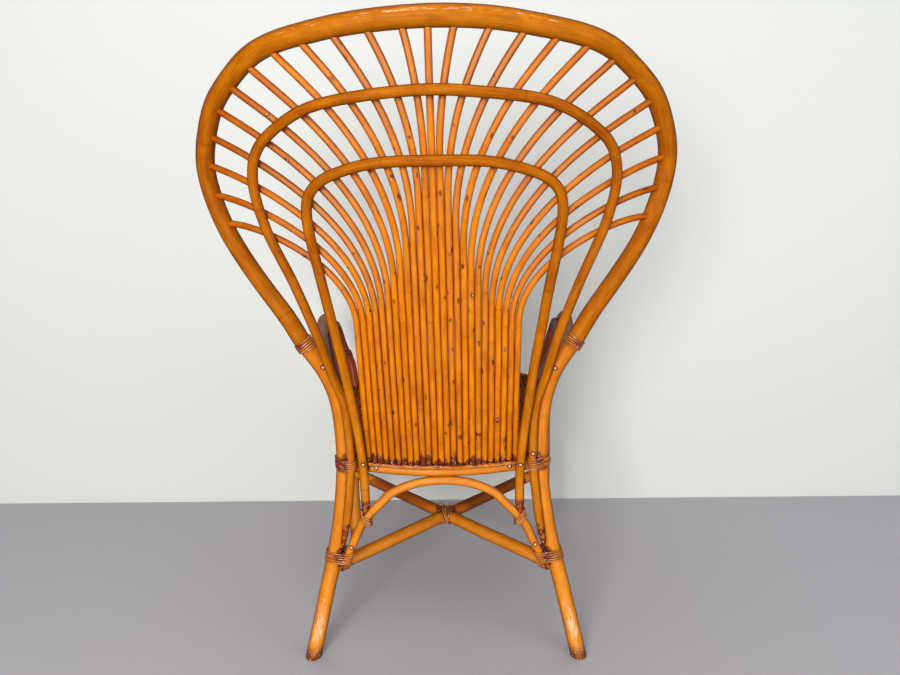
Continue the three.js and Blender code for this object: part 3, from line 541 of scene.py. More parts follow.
# In a finish the two haze keys paint a highlight where the surface is seen square on (for canes more where
# the tint is low), and depth paints shade where it is seen aslant.
usual = {
    "freckle": "5A2604", "stain": "701C05", "streaks": 1.0, "clouds": 1.1, "freckles": 0.10, "rough": 0.34,
    "bump": 0.25, "coat": 0.0, "shine": 0.05, "depth": 0.95, "paintedHighlight": 0.0, "paintedHighlightByTint": 0.0,
}
woven = {
    **usual, "stain": "2A0E04", "streaks": 1.6, "freckles": 0.15, "rough": 0.80, "bump": 0.4, "depth": 0.2
}
finishes = {
    "hoop": {
        **usual, "light": "D07C00", "dark": "8C3E00", "raw": "EBC7A0", "freckles": 0.05, "rough": 0.40,
        "paintedHighlight": 0.01, "paintedHighlightByTint": 0.60,
    },
    "pole": {
        **usual, "light": "E48A0A", "dark": "AA5000", "raw": "F8D4B0", "freckles": 0.08, "coat": 0.05,
        "shine": 0.12, "paintedHighlight": 0.02, "paintedHighlightByTint": 0.90,
    },
    "cane": {
        **usual, "light": "EC8A04", "dark": "AC5200", "freckle": "6A2A06", "stain": "5C1003",
        "raw": "D9A070", "streaks": 1.1, "clouds": 1.4, "rough": 0.38, "shine": 0.07, "depth": 0.78,
        "paintedHighlight": 0.03, "paintedHighlightByTint": -0.45,
    },
    "lashing": {
        **usual, "light": "D07C1C", "dark": "924606", "freckle": "6A1E06", "raw": "ECBC94",
        "streaks": 1.2, "clouds": 1.2, "rough": 0.30, "bump": 0.3, "coat": 0.12, "shine": 0.2, "paintedHighlight": 0.04,
    },
    "front": {
        **usual, "light": "D88210", "dark": "A04C00", "stain": "5E1203", "raw": "C09672", "clouds": 1.0,
        "freckles": 0.08, "rough": 0.32, "coat": 0.10, "shine": 0.22, "paintedHighlight": 0.06, "paintedHighlightByTint": 0.40,
    },
    # painted shade: the arm finish is dark maroon because the inner arm pole and its lashing lie in shade
    "arm": {
        **usual, "light": "96380A", "dark": "5C1602", "freckle": "2E0E04", "stain": "3A0A02",
        "raw": "9A7456", "streaks": 1.1, "clouds": 1.2, "bump": 0.4, "coat": 0.05, "shine": 0.2,
    },
    "weave": {
        **woven, "light": "AC701E", "dark": "602C06", "freckle": "2C1404", "raw": "8A6A3A", "clouds": 2.0
    },
    "weaveAcross": {
        **woven, "light": "7A2E08", "dark": "360C02", "freckle": "1C0C03", "raw": "9A7C48", "clouds": 1.8
    },
}
materials = {key: rattanMaterial(key + "Rattan", finish) for key, finish in finishes.items()}
print("stage: rattan finishes are mixed")

# The frame's measures

chair = {  # metres: x to the sitter's left, y to the back, z up
    "footHalfSpan": 0.283, "footDepth": 0.20075, "waistHalfSpan": 0.1975, "waistDepth": 0.15975,
    "jointHalfSpan": 0.257, "jointHeight": 0.683, "fanTop": 1.224, "fanHalfWidth": 0.421,
    "middleTop": 1.121, "middleHalfWidth": 0.313, "innerTop": 1.017, "innerHalfWidth": 0.218,
    "seatRearHeight": 0.400, "seatFrontHeight": 0.452, "seatFrontDepth": -0.32025, "seatHalfWidth": 0.246,
    "cornerHalfWidth": 0.240, "cornerDepth": -0.24525, "crestHalfSpan": 0.309, "crestDepth": -0.25625,
    "crestHeight": 0.634, "armRearHeight": 0.600, "archHeight": 0.2183, "sideCrownDepth": -0.060,
    "stretcherHeight": 0.200, "gap": 0.0003,
}
onBack = (0, 1, 0.18)
fan = {  # the surface of canes, and one cane; the hoops lie behind it by the bedding
    "railHeight": 0.418, "railBow": 0.004, "railHalfReach": 0.1476, "depthAtRail": 0.1777,
    "wrapRadius": 0.650, "lean": math.tan(math.radians(10)), "perSide": 12, "pitch": 0.0123,
    "endPitch": 0.056, "firstShare": 0.75, "outerBend": 0.731, "centerBend": 1.057, "leanDegrees": 43,
    "leanGain": 60, "lowHandles": (0.58, 0.41), "highHandles": (0.02, 0.18), "endShort": 0.004,
    "step": 0.003, "radius": 0.0061, "bedding": 0.00595, "sides": 14, "flat": onBack, "knuckles": 0.23,
    "swell": 0.035, "waver": 0.0002, "tintSpread": 0.12, "spots": 17, "bendSteps": 60,
}


# The fan surface: y = depth + (z - rail height) lean - x^2 / (2 wrap radius), or behind it by a
# distance square to it.
def onFan(x, z, behind=0.0):
    y = fan["depthAtRail"] + (z - fan["railHeight"]) * fan["lean"] - x * x / (2 * fan["wrapRadius"])
    slope = np.sqrt(1 + fan["lean"] ** 2 + (x / fan["wrapRadius"]) ** 2)
    return np.stack([x, y + behind * slope, z + 0 * x], axis=-1)


def seatHeightAt(y):  # the seat rises evenly from its rear edge to its front edge
    share = (chair["waistDepth"] - y) / (chair["waistDepth"] - chair["seatFrontDepth"])
    return between(chair["seatRearHeight"], chair["seatFrontHeight"], share)


def onSeat(x, y):
    return np.stack([x, y, seatHeightAt(y)], axis=-1)


def bowAt(x):  # the rail's bow is a parabola
    return fan["railBow"] * (x / chair["waistHalfSpan"]) ** 2


# Where the first half of a path reaches a value on one axis, and its direction there.
def meets(path, axis, value):
    half = path[: len(path) // 2]
    sign = np.sign(half[-1, axis] - half[0, axis])
    place = np.interp(sign * value, sign * half[:, axis], np.arange(len(half)))
    low = int(place)
    return between(half[low], half[low + 1], place - low), unit(half[low + 1] - half[low])


# The middle of a thinner pole that lies against a pole at a height, on the side given.
def beside(path, made, height, direction, radius):
    place, along = meets(path, 2, height)
    aside = np.array([*direction, 0.0])
    aside = unit(aside - along * aside.dot(along))
    return place + aside * (made["radius"] + radius + 2 * chair["gap"])


# The frame's poles, each with stations as shares of its width and rise. A side is the direction
# in which a thinner pole's end lies against the thicker one.

bent = {"sides": 20, "flat": (0, 1, 0), "swell": 0.03, "waver": 0.0005, "tintSpread": 0.03}
rearFrame = {
    **bent, "radius": 0.0165, "sides": 28, "knuckles": 0.34, "swell": 0.02, "ease": 0.022, "overlap": 0.002,
    "lowShares": [(1, 0), (0.66, 0.18), (0.23, 0.41), (0.04, 0.57), (0, 0.71)],
    "highShares": [(0.09, 0.823), (0.27, 0.885), (0.6, 0.947)],
    "hoopShares": [(0.67, 0.084), (0.793, 0.22), (0.907, 0.355), (0.97, 0.47), (1, 0.59), (0.985, 0.67),
                   (0.905, 0.8), (0.815, 0.865), (0.66, 0.94), (0.35, 0.984)],
}
outerHoop = {**rearFrame, "sides": 32, "flat": onBack}
rearArch = {
    **bent, "radius": 0.009, "knuckles": 0.26, "taper": (0.05, 0.6), "side": (-0.85, 0.5),
    "shares": [(1, 0), (0.9, 0.231), (0.78, 0.52), (0.6, 0.737), (0.5, 0.85), (0.26, 0.965)],
}
frontArch = {
    **bent, "radius": 0.009, "knuckles": 0.26, "side": (-1, 0), "shares": rearArch["shares"],
    "under": 0.004,  # room for the wound front edge
}
middleHoop = {
    **bent, "radius": 0.009, "flat": onBack, "knuckles": 0.27, "waver": 0.0006, "tintSpread": 0.04,
    "ease": 0.014, "taper": (0.07, 0.45), "side": (-0.6, 0.8), "footShares": (0.22, 0.6),
    "legShares": (0.64, 0.755, 0.83, 0.9),
    "shares": [(0.703, 0.03), (0.741, 0.119), (0.83, 0.288), (0.965, 0.527), (1, 0.7), (0.955, 0.81),
               (0.81, 0.895), (0.62, 0.957), (0.34, 0.987)],
}
innerHoop = {
    **bent, "radius": 0.0093, "flat": onBack, "knuckles": 0.24, "waver": 0.0006, "tintSpread": 0.04,
    "ease": 0.012, "taper": (0.04, 0.6), "onRailBelow": 0.1,
    "shares": [(0.718, 0), (0.727, 0.07), (0.75, 0.165), (0.78, 0.26), (0.825, 0.4), (0.88, 0.53),
               (0.93, 0.655), (0.98, 0.77), (1, 0.853), (0.975, 0.91), (0.87, 0.95), (0.68, 0.977),
               (0.42, 0.996)],
}
rail = {**bent, "radius": 0.010, "flat": (0, 0, 1), "knuckles": 0.22, "swell": 0.04, "waver": 0.0004}
seatHoop = {
    **bent, "radius": 0.0125, "flat": (0, 0, 1), "knuckles": 0.3,
    "sideShares": [(0, 0), (0.08, 0.13), (0.5, 0.4), (0.9, 0.66), (1, 0.85)],
    "frontShares": [(1, 0), (0.87, 0.52), (0.5, 0.9), (0, 1)],
}
frontPole = {
    **bent, "radius": 0.016, "sides": 28, "flat": (1, 0, 0), "knuckles": 0.33, "swell": 0.035,
    "waver": 0.0006, "footSplay": (0.004, -0.008, 0),
    "corner": (0.8, -0.6, 0),  # the way from the seat hoop's corner to the pole
    "bendShares": [(0.22, 0.4, 0.35), (0.55, 0.75, 0.62), (0.85, 0.8, 0.86), (0.97, 0.2, 0.97)],
    "armShares": [(0.06, 0.14, 0.14), (0.22, 0.36, 0.36), (0.5, 0.62, 0.62), (0.8, 0.86, 0.86)],
}
innerArm = {
    **bent, "radius": 0.011, "flat": (1, 0, 0), "knuckles": 0.25, "waver": 0.0004,
    "stations": 15, "endShort": 0.0057, "lowShare": 0.1, "dropDegrees": 25, "turnFrom": 0.3, "turnReach": 0.6,
}
sideArch = {
    **bent, "radius": 0.009, "sides": 18, "flat": (1, 0, 0), "knuckles": 0.24,
    "rearSide": (0.12, -1), "frontSide": (0, 1),
    "shares": [(1, 0), (0.97, 0.3), (0.86, 0.62), (0.62, 0.87), (0.3, 0.97)],
}
stretcher = {
    **bent, "radius": 0.014, "sides": 24, "flat": (0, 0, 1), "knuckles": 0.3, "swell": 0.035, "waver": 0.0004,
    "tintSpread": 0.05,
}


def columnsOf(shares):
    return np.array(shares).T


# Half of the rear frame: foot, waist and joint of the leg, then the hoop's left half on the fan.
def rearFrameHalf():
    waist = np.array([chair["waistHalfSpan"], chair["waistDepth"]])
    foot = np.array([chair["footHalfSpan"], chair["footDepth"]])
    joint = onFan(chair["jointHalfSpan"], chair["jointHeight"])
    low, high = np.array(rearFrame["lowShares"]), np.array(rearFrame["highShares"])
    wide, up = columnsOf(rearFrame["hoopShares"])
    return np.vstack([
        np.hstack([between(waist, foot, low[:, :1]), low[:, 1:] * chair["jointHeight"]]),
        np.hstack([between(waist, joint[:2], high[:, :1]), high[:, 1:] * chair["jointHeight"]]),
        joint,
        onFan(wide * chair["fanHalfWidth"], between(chair["jointHeight"], chair["fanTop"], up)),
        onFan(0.0, chair["fanTop"]),
    ])


# Half of an arch: across by the share, in depth by its square, and up.
def archHalf(foot, crown, made):
    wide, up = columnsOf(made["shares"])
    stations = [wide * foot[0], between(crown[1], foot[1], wide**2), between(foot[2], crown[2], up)]
    return np.vstack([np.stack(stations, axis=1), crown])


# Half of the middle hoop: up the leg's inner rear side, then behind the canes.
def middleHoopHalf(legPath):
    feet = [between(chair["archHeight"], fan["railHeight"], share) for share in middleHoop["footShares"]]
    heights = feet + [share * chair["jointHeight"] for share in middleHoop["legShares"]]
    wide, up = columnsOf(middleHoop["shares"])
    behind = fan["bedding"] + middleHoop["radius"] + 2 * chair["gap"]
    return np.vstack([
        [beside(legPath, rearFrame, height, middleHoop["side"], middleHoop["radius"]) for height in heights],
        onFan(wide * chair["middleHalfWidth"], between(chair["jointHeight"], chair["middleTop"], up), behind),
        onFan(0.0, chair["middleTop"], behind),
    ])


# Half of the inner hoop: from the rear arch, behind the rail, then behind the canes.
def innerHoopHalf(archPath):
    wide, up = columnsOf(innerHoop["shares"])
    behindCanes = fan["bedding"] + innerHoop["radius"] + 2 * chair["gap"]
    behindRail = rail["radius"] + innerHoop["radius"] + chair["gap"]
    behind = np.where(up < innerHoop["onRailBelow"], behindRail, behindCanes)
    heights = between(fan["railHeight"], chair["innerTop"], up)
    stations = onFan(wide * chair["innerHalfWidth"], heights, behind)
    end = meets(archPath, 0, stations[0, 0])[0]
    return np.vstack([end, stations, onFan(0.0, chair["innerTop"], behindCanes)])


def railHalf(legPath):
    reach = fan["railHalfReach"]
    middle = [onFan(x, fan["railHeight"] + bowAt(x)) for x in (reach, reach / 2, 0.0)]
    return np.vstack([meets(legPath, 2, fan["railHeight"] + fan["railBow"])[0], middle])


def seatHoopHalf(legPath):
    rear = meets(legPath, 2, chair["seatRearHeight"])[0]
    out, forward = columnsOf(seatHoop["sideShares"])
    depths = between(rear[1], chair["cornerDepth"], forward)
    sides = onSeat(between(rear[0], chair["seatHalfWidth"], out), depths)
    wide, forward = columnsOf(seatHoop["frontShares"])
    depths = between(chair["cornerDepth"], chair["seatFrontDepth"], forward)
    return np.vstack([sides, onSeat(wide * chair["cornerHalfWidth"], depths)])


# Front leg and arm in one: past the seat hoop's corner, forwards and up to the crest, and back.
def frontLine(legPath):
    byCorner = np.array(frontPole["corner"])
    distance = frontPole["radius"] + seatHoop["radius"] + chair["gap"]
    bySeat = onSeat(chair["cornerHalfWidth"], chair["cornerDepth"]) + byCorner * distance
    foot = (bySeat + frontPole["footSplay"]) * (1, 1, 0)
    knee = between(foot, bySeat, 0.5) * (0, 1, 1) + bySeat * (1, 0, 0)
    crest = np.array([chair["crestHalfSpan"], chair["crestDepth"], chair["crestHeight"]])
    forwards = np.array([crest[0], bySeat[1] - 2 * frontPole["radius"], crest[2]])
    rear = meets(legPath, 2, chair["armRearHeight"])[0]
    bend = between(bySeat, forwards, np.array(frontPole["bendShares"]))
    arm = between(crest, rear, np.array(frontPole["armShares"]))
    return np.vstack([foot, knee, bySeat, bend, crest, arm, rear])


# The arm's second pole runs round the first at the sum of their radii: inwards and a little down
# beside the arm, and straight behind the upright part, to the seat hoop's corner.
def innerArmLine(armPath):
    corner = onSeat(chair["cornerHalfWidth"], chair["cornerDepth"])
    along, rising = runningLength(armPath), np.arange(len(armPath) // 2)
    lowHeight = between(corner[2], chair["crestHeight"], innerArm["lowShare"])
    lowest = np.interp(lowHeight, armPath[rising, 2], along[rising])
    wanted = np.linspace(along[-1] - innerArm["endShort"], lowest, innerArm["stations"])
    tangent = unit(atLengths(armPath, wanted + fineGap / 2) - atLengths(armPath, wanted - fineGap / 2))
    inwards = np.cross((0, 0, 1.0), tangent)
    level = np.linalg.norm(inwards, axis=1, keepdims=True)
    turned = rise(level, innerArm["turnFrom"], innerArm["turnReach"])
    turned = turned**2 * (3 - 2 * turned)
    side = between(-np.array(frontPole["corner"]), inwards / level, turned)
    side = unit(side - tangent * (side * tangent).sum(1, keepdims=True))
    down = unit(np.cross(tangent, side))
    down = down * -np.sign(down[:, 2:3])
    drop = math.radians(innerArm["dropDegrees"]) * level
    aside = side * np.cos(drop) + down * np.sin(drop)
    distance = frontPole["radius"] + innerArm["radius"] + chair["gap"]
    return np.vstack([atLengths(armPath, wanted) + aside * distance, corner])


# A side arch rises from each leg and then follows the seat hoop close under it.
def sideArchLine(legPath, armPath, seatPath):
    crown = meets(seatPath, 1, chair["sideCrownDepth"])[0]
    crown = crown - (0, 0, seatHoop["radius"] + sideArch["radius"] + chair["gap"])

    def half(foot):  # from a foot almost to the crown
        depths = [between(crown[1], foot[1], out) for out, _ in sideArch["shares"]]
        return [
            (between(foot[0], meets(seatPath, 1, y)[0][0], up), y, between(foot[2], crown[2], up))
            for y, (_, up) in zip(depths, sideArch["shares"])
        ]
    rearFoot = beside(legPath, rearFrame, chair["archHeight"], sideArch["rearSide"], sideArch["radius"])
    frontFoot = beside(armPath, frontPole, chair["archHeight"], sideArch["frontSide"], sideArch["radius"])
    return np.vstack([half(rearFoot), crown, half(frontFoot)[::-1]])


def stretcherLine(legPath, armPath):  # from one rear leg to the front leg of the other side
    height = chair["stretcherHeight"]
    return np.stack([meets(legPath, 2, height)[0], mirrored(meets(armPath, 2, height)[0])])


# All paths. Fine ones of the legs, arch and seat hoop serve to look up where others meet them.
def framePaths():
    lines = {"whole": wholeLine(rearFrameHalf())}
    legPath = smoothPath(lines["whole"], fineGap)
    crown = np.array([0, fan["depthAtRail"], fan["railHeight"] - rail["radius"] - chair["gap"]])
    crown = crown - (0, 0, rearArch["radius"])
    foot = beside(legPath, rearFrame, chair["archHeight"], rearArch["side"], rearArch["radius"])
    lines["rearArch"] = wholeLine(archHalf(foot, crown, rearArch))
    lines["middle"] = wholeLine(middleHoopHalf(legPath))
    lines["inner"] = wholeLine(innerHoopHalf(smoothPath(lines["rearArch"], fineGap)))
    lines["rail"] = wholeLine(railHalf(legPath))
    lines["seat"] = wholeLine(seatHoopHalf(legPath))
    lines["front"] = frontLine(legPath)
    armPath = smoothPath(lines["front"], fineGap)
    under = seatHoop["radius"] + frontArch["under"] + frontArch["radius"] + 2 * chair["gap"]
    crown = np.array([0, chair["seatFrontDepth"], chair["seatFrontHeight"] - under])
    foot = beside(armPath, frontPole, chair["archHeight"], frontArch["side"], frontArch["radius"])
    lines["frontArch"] = wholeLine(archHalf(foot, crown, frontArch))
    lines["innerArm"] = innerArmLine(armPath)
    lines["sideArch"] = sideArchLine(legPath, armPath, smoothPath(lines["seat"], fineGap))
    lines["stretcher"] = stretcherLine(legPath, armPath)
    made = {key: smoothPath(line, stationGap) for key, line in lines.items()}
    for key, bend in (("whole", rearFrame), ("middle", middleHoop), ("inner", innerHoop)):
        made[key] = eased(made[key], bend["ease"])
    along = runningLength(made["whole"])
    rising = slice(len(along) // 3)
    joint = float(np.interp(chair["jointHeight"], made["whole"][rising, 2], along[rising]))
    made["leg"] = cutPath(made["whole"], 0, joint + rearFrame["overlap"])
    made["hoop"] = cutPath(made["whole"], joint, along[-1] - joint)
    return made


paths = framePaths()
poles = {
    "whole": rearFrame, "leg": rearFrame, "middle": middleHoop, "inner": innerHoop, "rail": rail,
    "rearArch": rearArch, "frontArch": frontArch, "front": frontPole, "innerArm": innerArm,
    "sideArch": sideArch, "stretcher": stretcher,
}


def sidePath(key, side):  # the path as made for the left side, or its mirror image
    return paths[key] if side == "left" else mirrored(paths[key])


# Stain and wear on the frame

# Where the red-brown stain lies: round each joint, with its reach in metres.
stainSpots = [
    ((0.257, 0.1736, 0.683), 0.026), ((0.199, 0.170, 0.4300), 0.024), ((0.190, 0.180, 0.4500), 0.016),
    ((0.216, 0.176, 0.216), 0.022), ((0.217, 0.160, 0.200), 0.030), ((0.2115, 0.186, 0.240), 0.018),
    ((0.263, -0.262, 0.232), 0.030), ((0.275, -0.270, 0.543), 0.028), ((0.0, -0.0380, 0.214), 0.040),
    ((0.149, 0.163, 0.432), 0.022), ((0.2055, 0.196, 0.222), 0.018),
]
innerEndStains = [((0.157, 0.188, 0.346), 0.022), ((0.1565, 0.188, 0.330), 0.022)]
middleEndStains = [
    ((0.2053, 0.1925, 0.266), 0.020), ((0.1995, 0.1905, 0.290), 0.016), ((0.1945, 0.190, 0.305), 0.010)
]
ageing = {  # most pairs are where a mark starts and over what height or depth it grows
    "spot": 1.25, "rim": 0.76, "rimHeight": 0.062,
    "footWear": 0.21, "outerFootWearAndHighlight": 0.42, "footReach": (0.36, -0.36), "soleSpared": 0.5,
    "soleSpan": (0.020, 0.030), "fanCenter": (0, 0, 0.93), "ridge": (0.92, 0.39), "crown": (0.88, 0.15),
    "ridgePower": 10, "crownWearAndHighlight": 0.43, "hoopsCrownWearAndHighlight": 0.28,
    "armTopWearAndHighlight": 0.8, "armTop": (0.56, 0.03), "armEnd": 0.10, "armFacing": 0.25,
    "sidePaintedShade": -0.20, "sideStart": (0.66, 0.15), "sideEnd": (1.17, -0.10),
    "footPaintedHighlight": 0.40, "footPaintedHighlightReach": (0.24, -0.24), "legPaintedHighlight": 0.10, "legPaintedHighlightReach": (0.62, -0.15),
    "barBox": (0.22, 0.20, 0.02), "barFar": (-0.02, -0.05), "rightBarPaintedShade": 0.95, "leftBarPaintedShade": 0.60,
}


def spotStain(rings, spots):  # 1.25 (1 - distance / reach), the greatest of all spots, on both sides
    folded = np.stack([np.abs(rings[..., 0]), rings[..., 1], rings[..., 2]], axis=-1)
    stain = np.zeros(rings.shape[:2])
    for place, reach in spots:
        distance = np.linalg.norm(folded - np.array(place), axis=-1)
        stain = np.maximum(stain, ageing["spot"] * (1 - distance / reach))
    return stain


# Stain lies at the spots and as a dark rim along the bottom; wear grows towards the floor on the side that
# faces outwards, and lies on the crown and the arms, and in these places it is partly a painted highlight.
# The third value is painted light: painted shade on the hoops' sides and on the stretchers' far halves, and a
# paler tint with a painted highlight on the lower legs and feet.
def stainWearAndPaintedLight(rings, along, spots=stainSpots, crownWearAndHighlight=ageing["crownWearAndHighlight"]):
    x, y, height = rings[..., 0], rings[..., 1], rings[..., 2]
    stain = np.maximum(spotStain(rings, spots), ageing["rim"] * (1 - height / ageing["rimHeight"]))
    outward = unit(rings - rings.mean(axis=1, keepdims=True))
    facing = np.clip(outward[..., 1] * np.sign(y), 0, 1)
    soleHeight, soleReach = ageing["soleSpan"]
    # the outward-facing part of this wear is partly a painted highlight
    wear = rise(height, *ageing["footReach"]) * (ageing["footWear"] + ageing["outerFootWearAndHighlight"] * facing)
    wear = wear * (1 - ageing["soleSpared"] * np.exp(-((height - soleHeight) / soleReach) ** 2))
    radial = unit(rings * (1, 0, 1) - ageing["fanCenter"])
    rearwards, away = ageing["ridge"]
    ridge = np.clip(rearwards * outward[..., 1] + away * (outward * radial).sum(-1), 0, 1)
    # the pale crown ridge is partly wear and partly a painted highlight
    crown = crownWearAndHighlight * rise(height, *ageing["crown"]) * ridge ** ageing["ridgePower"]
    # the arms' upward faces are worn and painted pale as a highlight from above
    armTop = rise(height, *ageing["armTop"]) * (y < ageing["armEnd"])
    armTop = armTop * np.clip(ageing["armFacing"] + outward[..., 2], 0, 1)
    # painted light: painted shade on the hoops' sides, and a paler tint with a painted highlight low on the
    # legs and feet
    paintedLight = ageing["sidePaintedShade"] * rise(height, *ageing["sideStart"]) * rise(height, *ageing["sideEnd"])
    paintedLight = paintedLight + ageing["footPaintedHighlight"] * rise(height, *ageing["footPaintedHighlightReach"])
    paintedLight = paintedLight + ageing["legPaintedHighlight"] * rise(height, *ageing["legPaintedHighlightReach"])
    # painted shade on the stretchers' far halves, under the seat
    wide, deep, high = ageing["barBox"]
    low = (np.abs(height - chair["stretcherHeight"]) < high) & (np.abs(y) < deep) & (np.abs(x) < wide)
    barPaintedShade = np.where(x < 0, ageing["rightBarPaintedShade"], ageing["leftBarPaintedShade"])
    paintedLight = paintedLight - low * rise(y, *ageing["barFar"]) * barPaintedShade
    return np.clip(stain, 0, 1), np.maximum.reduce([wear, crown, ageing["armTopWearAndHighlight"] * armTop]), paintedLight


def withSpots(spots):
    return lambda rings, along: stainWearAndPaintedLight(rings, along, stainSpots + spots, ageing["hoopsCrownWearAndHighlight"])


# The half-round strip over the canes' feet, stained along its edges.
trim = {
    "reach": 0.1505, "height": 0.4311, "standOff": 0.0090, "radius": 0.0035, "shape": (0.64, 1.22),
    "sides": 14, "flat": (0, 0, 1), "knuckles": 0.07, "swell": 0.05, "waver": 0.0002, "tintSpread": 0.03,
    "spots": 30, "ragged": 0.3, "raggedWave": 0.04, "stations": 120, "edgeDrop": 0.0006,
    "edgeReach": 0.0042, "edgeStain": 0.85, "middleStain": -0.1, "mostStain": 0.9, "wear": 0.36,
}


def trimMarks(rings, along):
    middle = rings[..., 2].mean(axis=1, keepdims=True)
    ragged = trim["ragged"] * slowWaves(along, trim["raggedWave"])[:, None]
    edge = np.abs(rings[..., 2] - middle + trim["edgeDrop"]) / trim["edgeReach"]
    stain = edge * trim["edgeStain"] + ragged + trim["middleStain"]
    stain = np.clip(stain, 0, trim["mostStain"])
    return stain, np.full(rings.shape[:2], trim["wear"]), 0


def onTrim(x, standOff):
    return onFan(x, trim["height"] + bowAt(x)) + (0, standOff, 0)


def makeFrame():
    pairs = (  # piece, node, path, measures, finish, stands on the floor
        ("rearLeg_", "rear_leg_", "leg", rearFrame, "pole", True),
        ("frontLegArm_", "front_leg_arm_", "front", frontPole, "front", True),
        ("innerArm_", "inner_arm_", "innerArm", innerArm, "arm", False),
        ("sideArch_", "side_arch_", "sideArch", sideArch, "pole", False),
    )
    for side in ("left", "right"):
        for name, node, key, made, finish, footEnd in pairs:
            piece = pole(name + side, sidePath(key, side), made, stainWearAndPaintedLight, footEnd)
            finishPiece(piece, "pole", materials[finish], node + side)
    across = np.linspace(trim["reach"], -trim["reach"], trim["stations"])
    strip = evenPath(onTrim(across, trim["standOff"]), stationGap)
    singles = (  # piece, node, path, measures, finish, marks
        ("outerHoop", "outer_hoop", paths["hoop"], outerHoop, "hoop", stainWearAndPaintedLight),
        ("middleHoop", "middle_hoop", paths["middle"], middleHoop, "hoop", withSpots(middleEndStains)),
        ("innerHoop", "inner_hoop", paths["inner"], innerHoop, "hoop", withSpots(innerEndStains)),
        ("seatRail", "seat_rail_back", paths["rail"], rail, "pole", stainWearAndPaintedLight),
        ("rearArch", "rear_arch", paths["rearArch"], rearArch, "pole", stainWearAndPaintedLight),
        ("frontArch", "front_arch", paths["frontArch"], frontArch, "pole", stainWearAndPaintedLight),
        ("footTrim", "cane_foot_trim", strip, trim, "pole", trimMarks),
        ("seatHoop", "seat_hoop", paths["seat"], seatHoop, "pole", stainWearAndPaintedLight),
        ("stretcher_upper", "stretcher_upper", paths["stretcher"], stretcher, "pole", stainWearAndPaintedLight),
        ("stretcher_lower", "stretcher_lower", mirrored(paths["stretcher"]), stretcher, "pole", stainWearAndPaintedLight),
    )
    for name, node, path, made, finish, marksAt in singles:
        finishPiece(pole(name, path, made, marksAt), "pole", materials[finish], node)


makeFrame()
print("stage: frame poles are bent")

# Canes of the fan

caneStain = {
    "reach": (0.004, 0.027), "ragged": 0.006, "anyTurn": 6.3, "least": 0.003, "foot": 0.436,
    "strength": 1.25, "bentFrom": 1.04, "bentReach": 0.08, "bentPaintedShadeAndHighlight": -0.40,
}


# A cane rises straight to its bend height, which falls from the centre as (1 - share)^2, then
# follows a cubic in x and z: (1-t)^3 a + 3 (1-t)^2 t b + 3 (1-t) t^2 c + t^3 d.
def canePath(index):
    share = index / fan["perSide"]
    reach = (index - 1 + fan["firstShare"]) * fan["endPitch"] if index else 0
    middle = runningLength(paths["whole"])[-1] / 2
    end = atLengths(paths["whole"], [middle - reach])[0, [0, 2]]
    start = np.array([index * fan["pitch"], between(fan["outerBend"], fan["centerBend"], (1 - share)**2)])
    span = np.linalg.norm(end - start)
    lean = math.radians(fan["leanDegrees"] * share + fan["leanGain"] * share**2)
    low = np.array([0, span * between(*fan["lowHandles"], share)])
    high = np.array([math.sin(lean), math.cos(lean)]) * span * between(*fan["highHandles"], share)
    t = np.linspace(0, 1, fan["bendSteps"])[:, None]
    bend = (1 - t)**3 * start + 3 * (1 - t)**2 * t * (start + low)
    bend = bend + 3 * (1 - t) * t**2 * (end - high) + t**3 * end
    straight = np.array([[start[0], fan["railHeight"]], [start[0], (fan["railHeight"] + start[1]) / 2]])
    flatPath = np.vstack([straight, bend])
    path = evenPath(onFan(flatPath[:, 0], flatPath[:, 1]), fan["step"])
    return cutPath(path, 0, runningLength(path)[-1] - fan["endShort"])


# Stain at the cane's foot, where it was glued under the trim, and painted light in its bent top: a lower tint
# that paints shade there and, through the cane finish, a pink highlight.
def caneMarks(rings, along):
    x, height = rings[..., 0], rings[..., 2]
    angle = np.linspace(0, 2 * np.pi, rings.shape[1], endpoint=False)
    ragged = caneStain["ragged"] * np.cos(angle * 2 + rng.uniform(0, caneStain["anyTurn"]))
    reach = np.maximum(rng.uniform(*caneStain["reach"]) + ragged, caneStain["least"])
    foot = np.clip(caneStain["strength"] - (height - caneStain["foot"]) / reach[None, :], 0, 1)
    bent = np.hypot(x - rings[0, 0, 0], np.maximum(height - caneStain["bentFrom"], 0))
    return foot, np.zeros(x.shape), caneStain["bentPaintedShadeAndHighlight"] * rise(bent, 0, caneStain["bentReach"])


def makeCanes():
    for index in range(fan["perSide"] + 1):
        path = canePath(index)
        for side in (("center",) if index == 0 else ("left", "right")):
            name = "cane_center" if index == 0 else "cane_%s_%02d" % (side, index)
            cane = pole("fan_" + name, mirrored(path) if side == "right" else path, fan, caneMarks)
            finishPiece(cane, "cane", materials["cane"], name)


makeCanes()
print("stage: canes are fanned")

# Lashings: a strand wound tight round one or more poles

